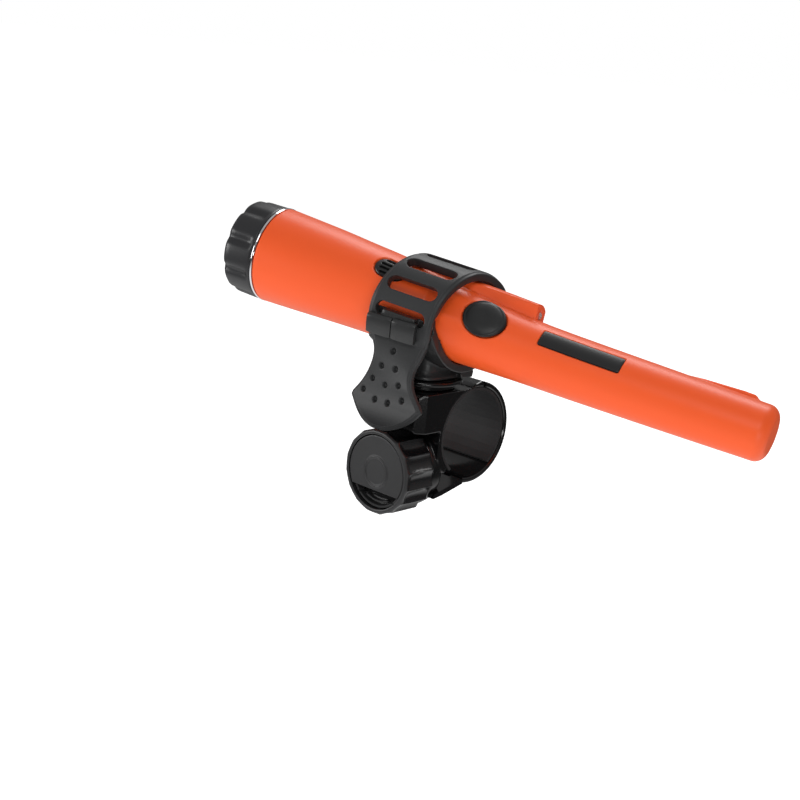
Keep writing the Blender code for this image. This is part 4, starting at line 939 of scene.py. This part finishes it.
def build_cradle():
    cradle = saddle("cradle_body", -13.6, (14.7, 14.7), (-44, -13), -166, 18.2,
                    inner=lambda x, angle: 17.0)
    seat_angles = list(np.linspace(-26.0, 2.6, 7))
    root_angles = (-4.9, -1.5, 2.2)
    join_into(cradle, [
        # stiffening lips at both ends
        saddle("lip_a", 12.2, (14.7, 17.1), (-12, -12), -150, 18.3, steps=4),
        saddle("lip_c", 11.6, (14.7, 17.1), (6.5, 6.5), -16, 16.75, steps=4, count=16),
        saddle("lip_b", -13.6, (-11.4, -11.4), (-46, -46), -150, 18.5, steps=4),
        foot(),
        loft("lug", world, prism("x", LUG_OUTLINE, 10.4, 14.4), "cradle"),
        hook_block("seat", -10.4, 10.4, [(17.35, a) for a in seat_angles]
                   + [(18.15, a) for a in seat_angles[::-1]]),
        hook_block("root", -5.6, 8.4, [(17.7, a) for a in root_angles]
                   + [(21.6, a) for a in root_angles[::-1]]),
        ear(-12.8, -9.7),
        ear(9.7, 12.8),
    ])
    remesh(cradle, voxel=0.0003)
    # room for the housing and its pad
    cut(cradle, probe, [[square_point(x, fit_radius(x, angle, 0.4, 30.0), angle)
                         for angle in np.linspace(0, 360, 97)[:-1]]
                        for x in np.linspace(-20, 24, 23)])
    # room for the strap's eye, then the anchor pin's hole
    for half, radius, count in ((9.65, 3.1, 28), (14, 1.45, 24)):
        cut(cradle, probe,
            rod("x", EYE_CENTRE, EYE_STATION - half, EYE_STATION + half, radius, count))
    # stepped well of the swivel screw
    well = [(20.0, 3.4), (24.3, 3.4), (24.3, 5.9), (36.0, 5.9)]
    cut(cradle, world, circles("z", SWIVEL_CENTRE, well, 40))
    remesh(cradle, voxel=0.00025, smoothing=4)
    join_into(cradle, [
        hook_bar("bar_low", -10.5, -0.2),
        hook_bar("bar_high", 0.2, 9.9),
        hook_block("bar_root", -5.6, 8.4, [(20.2, a) for a in root_angles]
                   + [(21.9, a) for a in (-3.0, -4.5, -6.5)]),
    ])
    shade(cradle, 42)
    settle(cradle, "holder", "cradle", "cradle_pad")


# ================================================================ swivel
SCREW_BORE = 3.4
# z, radius
DISC_PROFILE = [(20.3, SCREW_BORE), (20.3, 15.2), (20.5, 15.65), (20.9, 15.8), (21.6, 15.8),
                (21.95, 15.6), (22.15, 15.1), (22.15, SCREW_BORE)]
WASHER_PROFILE = [(18.4, SCREW_BORE), (18.4, 12.9), (18.6, 13.1), (19.8, 13.1), (20.0, 12.9),
                  (20.0, SCREW_BORE)]


def build_swivel():
    for name, profile, body, replaced in (
            ("swivel_plate", DISC_PROFILE, "holder", "swivel_disc"),
            ("swivel_washer", WASHER_PROFILE, "clamp", "friction_washer")):
        rings = circles("z", SWIVEL_CENTRE, profile, 96)
        settle(loft(name, world, rings, "gloss", closed=True), body, replaced)


# ================================================================ clamp and dial
CLAMP_BORE, BAND_OUTER, CLAMP_HALF = 18.4, 20.4, 15.0
DIAL_Z = -14.4
DIAL_CENTRE = (0.0, DIAL_Z)        # x, z of the dial's axis, which runs along Y
DIAL_FRONT, DIAL_BACK = -37.7, -22.4
# y, z, closed by the arc of the bore
BLOCK_OUTLINE = [
    (2.5, 20.6), (-1.0, 19.6), (-3.6, 18.25), (-6.0, 18.1), (-29.4, 18.1), (-31.3, 16.6),
    (-32.3, 3.9), (-31.4, 2.75), (-19.6, 2.75), (-19.9, -2.0), (-19.9, -8.0), (-18.4, -11.5),
    (-15.2, -14.6)]
# y, share of the boss's radius
BOSS_RADIUS = 15.4
BOSS_PROFILE = [(-14.4, 0.80), (-15.5, 0.90), (-17.0, 0.965), (-19.0, 0.99), (-21.2, 1.0),
                (-22.1, 0.985)]
# x on the +X side, y
CORNER_CUT = [(11.2, -35.5), (20.0, -35.5), (20.0, -24.5), (15.4, -27.8), (12.0, -32.0)]
# y, z
TONGUE_WAY = [(-30.0, -25.2), (-8.0, -25.2), (-8.0, -17.2), (-12.0, -18.2), (-23.0, -21.6),
              (-30.0, -21.6)]
ARM_OUTLINE = [(-3.2, -18.35), (-9.0, -19.5), (-15.0, -21.0), (-19.6, -22.2), (-19.9, -24.0),
               (-15.0, -23.2), (-9.0, -21.7), (-3.6, -20.35)]
TONGUE_UNDERSIDE = [(-4.6, -18.9), (-4.6, -21.2), (-9.5, -22.7), (-15.5, -24.6),
                    (-17.5, -24.75)]
TONGUE_TOP = [(-33.5, -24.6), (-33.5, -22.2), (-17.5, -22.2), (-15.0, -22.0), (-9.5, -20.5)]
TOOTH_PITCH = 1.45
# y behind the dial's front, radius, scallop depth: front edge, then back along the grip
DIAL_FRONT_ROWS = [
    (5.0, 14.5, 0), (0.35, 14.55, 0), (0.08, 14.62, 0), (0, 14.7, 0), (0, 15.55, 0),
    (0.12, 15.9, 0.06), (0.45, 16.35, 0.2), (0.9, 16.6, 0.38), (1.4, 16.75, 0.55),
    (2.0, 16.8, 0.95), (2.7, 16.8, 1.35), (3.6, 16.8, 1.6), (6, 16.8, 1.75), (9, 16.8, 1.75)]
# y before the dial's back, radius, scallop depth
DIAL_BACK_ROWS = [(1.6, 16.8, 1.6), (0.6, 16.7, 1.4), (0.2, 16.5, 1.2), (0, 16.1, 0.9),
                  (0, 14.5, 0)]
DIAL_POINTS, DIAL_SCALLOPS = 480, 16
# y, radius, drop from the axis to the chord cut
PLUG_SECTIONS = [
    (DIAL_BACK - 0.1, 13.6, 7.4), (DIAL_FRONT + 3.2, 14.2, 7.4), (DIAL_FRONT + 0.5, 14.2, 7.4),
    (DIAL_FRONT + 0.3, 14.08, 7.3), (DIAL_FRONT + 0.22, 13.85, 7.15)]
# y from the dial's front, radius
PLUG_RING = [(0.6, 6.4), (0.2, 6.35), (-0.08, 6.1), (-0.18, 5.75), (-0.08, 5.4), (0.2, 5.15),
             (0.6, 5.1)]
CHORD_DROP = 7.9
# outer radius, inner radius if any, y of the front behind the dial's front
FLOOR_STEPS = [(14.15, None, 4.2), (14.15, 13.2, 1.5), (12.3, 11.5, 2.3), (10.4, 9.8, 3.0)]


def build_clamp_block():
    turn = np.radians(np.linspace(222, 78, 60))
    bore_arc = [(CLAMP_BORE * math.cos(q), CLAMP_BORE * math.sin(q)) for q in turn]
    outline = BLOCK_OUTLINE + bore_arc
    block = loft("clamp_body", world, prism("x", outline, -CLAMP_HALF, CLAMP_HALF), "gloss")
    profile = [(y, BOSS_RADIUS * share) for y, share in BOSS_PROFILE]
    join_into(block, [loft("boss", world, circles("y", DIAL_CENTRE, profile, 96), "gloss")])
    remesh(block, voxel=0.0003)
    for side in (1, -1):
        outline = [(side * x, y) for x, y in CORNER_CUT]
        cut(block, world, prism("z", outline, 0.9, 24.0))
    cut(block, world, prism("x", circle(CLAMP_BORE, 60), -20, 20))
    cut(block, world, prism("x", TONGUE_WAY, -9.2, 9.2))
    cut(block, world, rod("z", SWIVEL_CENTRE, 12.6, 30, 3.3, 32))    # swivel screw's hole
    remesh(block, voxel=0.00028, smoothing=3)
    settle(block, "clamp", "clamp_block")


def build_band():
    """Band round the pole with rounded edges, and two arms beside the tongue."""
    half, outer, inner = CLAMP_HALF, BAND_OUTER, CLAMP_BORE
    # x, radius
    section = [
        (-half + 0.6, outer), (-half + 0.15, outer - 0.2), (-half, outer - 0.7),
        (-half, inner + 0.4), (-half + 0.4, inner), (half - 0.4, inner), (half, inner + 0.4),
        (half, outer - 0.7), (half - 0.15, outer - 0.2), (half - 0.6, outer)]
    section += [(x, outer) for x in np.linspace(half - 3, -half + 3, 5)]
    rings = [[(x, radius * math.cos(turn), radius * math.sin(turn)) for x, radius in section]
             for turn in np.radians(np.linspace(76.5, -101, 90))]
    band = loft("clamp_strap", world, rings, "gloss")
    join_into(band, [loft("arm", world, prism("x", ARM_OUTLINE, start, end), "gloss")
                     for start, end in ((9.25, 14.95), (-14.95, -9.25))])
    shade(band, 35)
    settle(band, "clamp", "clamp_band")


def build_tongue():
    """Tongue with drive teeth on its underside."""
    low, root = -24.75, -24.2
    teeth = []
    for y in np.arange(-18.0, -33.0, -TOOTH_PITCH):
        teeth += [(y, low), (y - 0.35, root), (y - 0.75, root), (y - 1.1, low)]
    outline = TONGUE_UNDERSIDE + teeth + TONGUE_TOP
    tongue = loft("toothed_tongue", world, prism("x", outline, -8.8, 8.8), "gloss")
    bevel = tongue.modifiers.new("b", "BEVEL")
    bevel.width = 0.00018
    bevel.segments = 2
    bevel.limit_method = "ANGLE"
    settle(tongue, "tongue", "band_tongue")


def build_dial():
    """Scalloped grip of the dial, with a duller front edge."""
    share = np.arange(DIAL_POINTS) / DIAL_POINTS
    turn = 2 * np.pi * share
    # 0 in a scallop's middle, 1 on a ridge
    ridge = np.abs(((share * DIAL_SCALLOPS + 0.5) % 1.0) - 0.5) * 2
    scallop = (1 - ridge ** 2) * (0.25 + 0.75 * ease(0.0, 0.16, 1 - ridge))
    rows = [(DIAL_FRONT + y, radius, depth) for y, radius, depth in DIAL_FRONT_ROWS]
    rows += [(DIAL_BACK - y, radius, depth) for y, radius, depth in DIAL_BACK_ROWS]
    rings = []
    for y, radius, depth in rows:
        radii = radius - depth * scallop
        outline = np.stack([np.sin(turn) * radii, DIAL_Z + np.cos(turn) * radii], -1)
        rings.append(on_axis("y", y, outline))
    dial = loft("dial_grip", world, rings, "knob_side", closed=True, sharp=55)
    dial.data.materials.append(MATERIAL["knob"])
    for face in dial.data.polygons:
        if face.center[1] / MM < DIAL_FRONT + 0.75:
            face.material_index = 1
    settle(dial, "dial", "dial_knob")


def below_chord(radius):
    """Arc of a circle about the dial's axis, from chord to chord under it."""
    half = math.acos(CHORD_DROP / radius)
    return [(radius * math.sin(turn), DIAL_Z + radius * math.cos(turn))
            for turn in np.linspace(math.pi - half, math.pi + half, 70)]


def build_plug():
    """Plug in the dial with a raised ring, a chord cut and a stepped floor below it."""
    turn = 2 * np.pi * np.arange(160) / 160
    rings = []
    for y, radius, drop in PLUG_SECTIONS:
        z = DIAL_Z + np.maximum(radius * np.cos(turn), -drop)
        rings.append(on_axis("y", y, np.stack([radius * np.sin(turn), z], -1)))
    plug = loft("dial_core", world, rings, "knob", sharp=30)
    profile = [(DIAL_FRONT + y, radius) for y, radius in PLUG_RING]
    cut(plug, world, circles("y", DIAL_CENTRE, profile, 96), "UNION", closed=True)
    steps = []
    for outer, inner, behind in FLOOR_STEPS:
        outline = below_chord(outer) + (below_chord(inner)[::-1] if inner else [])
        rings = prism("y", outline, DIAL_FRONT + behind, DIAL_BACK - 0.6)
        steps.append(loft("step", world, rings, "knob"))
    join_into(plug, steps)
    remesh(plug, voxel=0.0002, smoothing=1, factor=0.4)
    # way through the plug for the band's tongue
    outline = [(-9.15, -25.0), (9.15, -25.0), (9.15, -21.95), (-9.15, -21.95)]
    cut(plug, world, prism("y", outline, -45.0, -20.0))
    plug.data.set_sharp_from_angle(angle=math.radians(40))
    settle(plug, "clamp", "knob_plug")


# ================================================================ CAD pieces kept as they are
CAD_LOOKS = {
    "clamp_liner": "liner", "swivel_screw": "steel", "anchor_pin": "steel", "speaker": "tin",
    "battery_9v": "jacket", "battery_stud_plus": "tin", "battery_stud_minus": "tin",
    "battery_snap_plate": "plate", "battery_wire_red": "wire_red",
    "battery_wire_black": "wire_black", "main_circuit_board": "pcb",
    "processor_chip": "ferrite", "filter_capacitor": "plate", "vibration_motor": "steel",
    "vibration_weight": "steel", "button_switch": "plate", "speaker_wire": "wire_black",
    "lamp_led": "lens", "lamp_wire": "wire_red", "ferrite_rod": "ferrite",
    "coil_bobbin_rear": "bobbin", "coil_bobbin_front": "bobbin", "search_coil": "copper",
    "coil_lead": "copper", "battery_pad": "foam",
}


def dress_cad_pieces():
    for name, look in CAD_LOOKS.items():
        materials = frame["nodes"][name].data.materials
        materials.clear()
        materials.append(MATERIAL[look])


# ================================================================ stage, light, camera
FLOOR_HALF, FLOOR_Z = 30, -0.11
# name, location, target, width, height (metres), power (watts)
LIGHTS = [
    ("key_top", (-0.15, 0.45, 0.75), (0, 0, 0.02), 0.7, 0.35, 4.6),
    ("front_soft", (-0.75, -0.75, 0.12), (-0.02, 0, 0.02), 0.6, 0.35, 3.9),
    ("front_high", (0.45, -0.7, 0.55), (0.02, 0, 0.02), 0.4, 0.3, 1.5),
    ("low_right", (0.65, -0.45, -0.09), (0.0, -0.02, -0.03), 0.3, 0.12, 0.9),
]
CAMERA_PLACE = (349.7, -409.4, 123.9)      # row-frame millimetres
CAMERA_RIGHT = Vector((0.71833, 0.68946, 0.09304))
CAMERA_DOWN = Vector((0.23221, -0.11155, -0.96625))
CAMERA_FORWARD = Vector((-0.65581, 0.71569, -0.24023))


def floor_material():
    """White floor that glows to the camera and to diffuse rays, and reflects dark."""
    material, tree, shader = new_material("floor_white")
    link = tree.links.new
    set_inputs(shader, {"Base Color": (0.55, 0.55, 0.55, 1), "Roughness": 0.9, SPECULAR: 0.1,
                        "Emission Color": (1, 1, 1, 1)})
    ray = add_node(tree, "LightPath")
    to_camera = add_node(tree, "Math", {1: 0.84}, operation="MULTIPLY")
    glow = add_node(tree, "Math", {1: 0.62}, operation="MULTIPLY_ADD")
    link(ray.outputs["Is Camera Ray"], to_camera.inputs[0])
    link(ray.outputs["Is Diffuse Ray"], glow.inputs[0])
    link(to_camera.outputs[0], glow.inputs[2])
    link(glow.outputs[0], shader.inputs["Emission Strength"])
    # reflections see a glow that grows as the ray steepens
    mix = add_node(tree, "MixShader")
    reflected = add_node(tree, "Emission")
    geometry = add_node(tree, "NewGeometry")
    split = add_node(tree, "SeparateXYZ")
    link(geometry.outputs["Incoming"], split.inputs[0])
    link(map_range(tree, split.outputs[2], 0.33, 0.62, 0.07, 0.85), reflected.inputs[1])
    link(ray.outputs["Is Glossy Ray"], mix.inputs[0])
    link(shader.outputs[0], mix.inputs[1])
    link(reflected.outputs[0], mix.inputs[2])
    link(mix.outputs[0], tree.nodes["Material Output"].inputs["Surface"])
    return material


def build_floor():
    mesh = bpy.data.meshes.new("floor")
    corners = [(x * FLOOR_HALF, y * FLOOR_HALF, FLOOR_Z)
               for x, y in ((-1, -1), (1, -1), (1, 1), (-1, 1))]
    mesh.from_pydata(corners, [], [(0, 1, 2, 3)])
    floor = bpy.data.objects.new("floor", mesh)
    scene.collection.objects.link(floor)
    mesh.materials.append(floor_material())


def build_world():
    """White to the camera, even to diffuse rays, brighter overhead to all others."""
    studio = bpy.data.worlds.new("studio")
    scene.world = studio
    studio.use_nodes = True
    tree = studio.node_tree
    link = tree.links.new
    background = tree.nodes["Background"]
    ray = add_node(tree, "LightPath")
    geometry = add_node(tree, "NewGeometry")
    split = add_node(tree, "SeparateXYZ")
    link(geometry.outputs["Incoming"], split.inputs[0])
    # the incoming direction points back along the ray, so its height is turned over
    height = add_node(tree, "Math", {1: -1.0}, operation="MULTIPLY")
    link(split.outputs[2], height.inputs[0])
    overhead = map_range(tree, height.outputs[0], -0.2, 0.95, 0.05, 0.40)
    camera_mix = add_node(tree, "Mix", {3: 1.0}, data_type="FLOAT")
    diffuse_mix = add_node(tree, "Mix", {3: 0.34}, data_type="FLOAT")
    link(ray.outputs["Is Camera Ray"], camera_mix.inputs[0])
    link(ray.outputs["Is Diffuse Ray"], diffuse_mix.inputs[0])
    link(overhead, diffuse_mix.inputs[2])
    link(diffuse_mix.outputs[0], camera_mix.inputs[2])
    background.inputs[0].default_value = (1.0, 1.0, 1.0, 1)
    link(camera_mix.outputs[0], background.inputs[1])


def add_light(name, location, target, width, height, power):
    light = bpy.data.lights.new(name, "AREA")
    light.energy = power
    light.shape = "RECTANGLE"
    light.size = width
    light.size_y = height
    lamp = bpy.data.objects.new(name, light)
    scene.collection.objects.link(lamp)
    lamp.location = location
    aim = Vector(target) - Vector(location)
    lamp.rotation_euler = aim.to_track_quat("-Z", "Y").to_euler()


def build_camera():
    lens = bpy.data.cameras.new("camera")
    camera = bpy.data.objects.new("camera", lens)
    scene.collection.objects.link(camera)
    turn = Matrix((CAMERA_RIGHT, -CAMERA_DOWN, -CAMERA_FORWARD)).transposed()
    camera.matrix_world = Matrix.Translation(Vector(CAMERA_PLACE) * MM) @ turn.to_4x4()
    lens.lens = 63.0
    lens.sensor_width = 36.0
    lens.clip_start = 0.01
    scene.camera = camera
    scene.view_settings.view_transform = "Standard"
    scene.view_settings.exposure = 0.0


# ================================================================ build
for key, surface in SURFACES.items():
    MATERIAL[key] = moulded(*surface)
# painted shade on the strap's lower fan
paint_fan_shade(MATERIAL["rubber"])
MATERIAL["lens"] = clear_lens()

build_housing()
build_button()
build_inserts()
build_lens()
build_cap()
build_strap()
build_cradle()
build_swivel()
build_clamp_block()
build_band()
build_tongue()
build_dial()
build_plug()
dress_cad_pieces()
build_floor()
build_world()
for light_row in LIGHTS:
    add_light(*light_row)
build_camera()

bpy.context.view_layer.update()
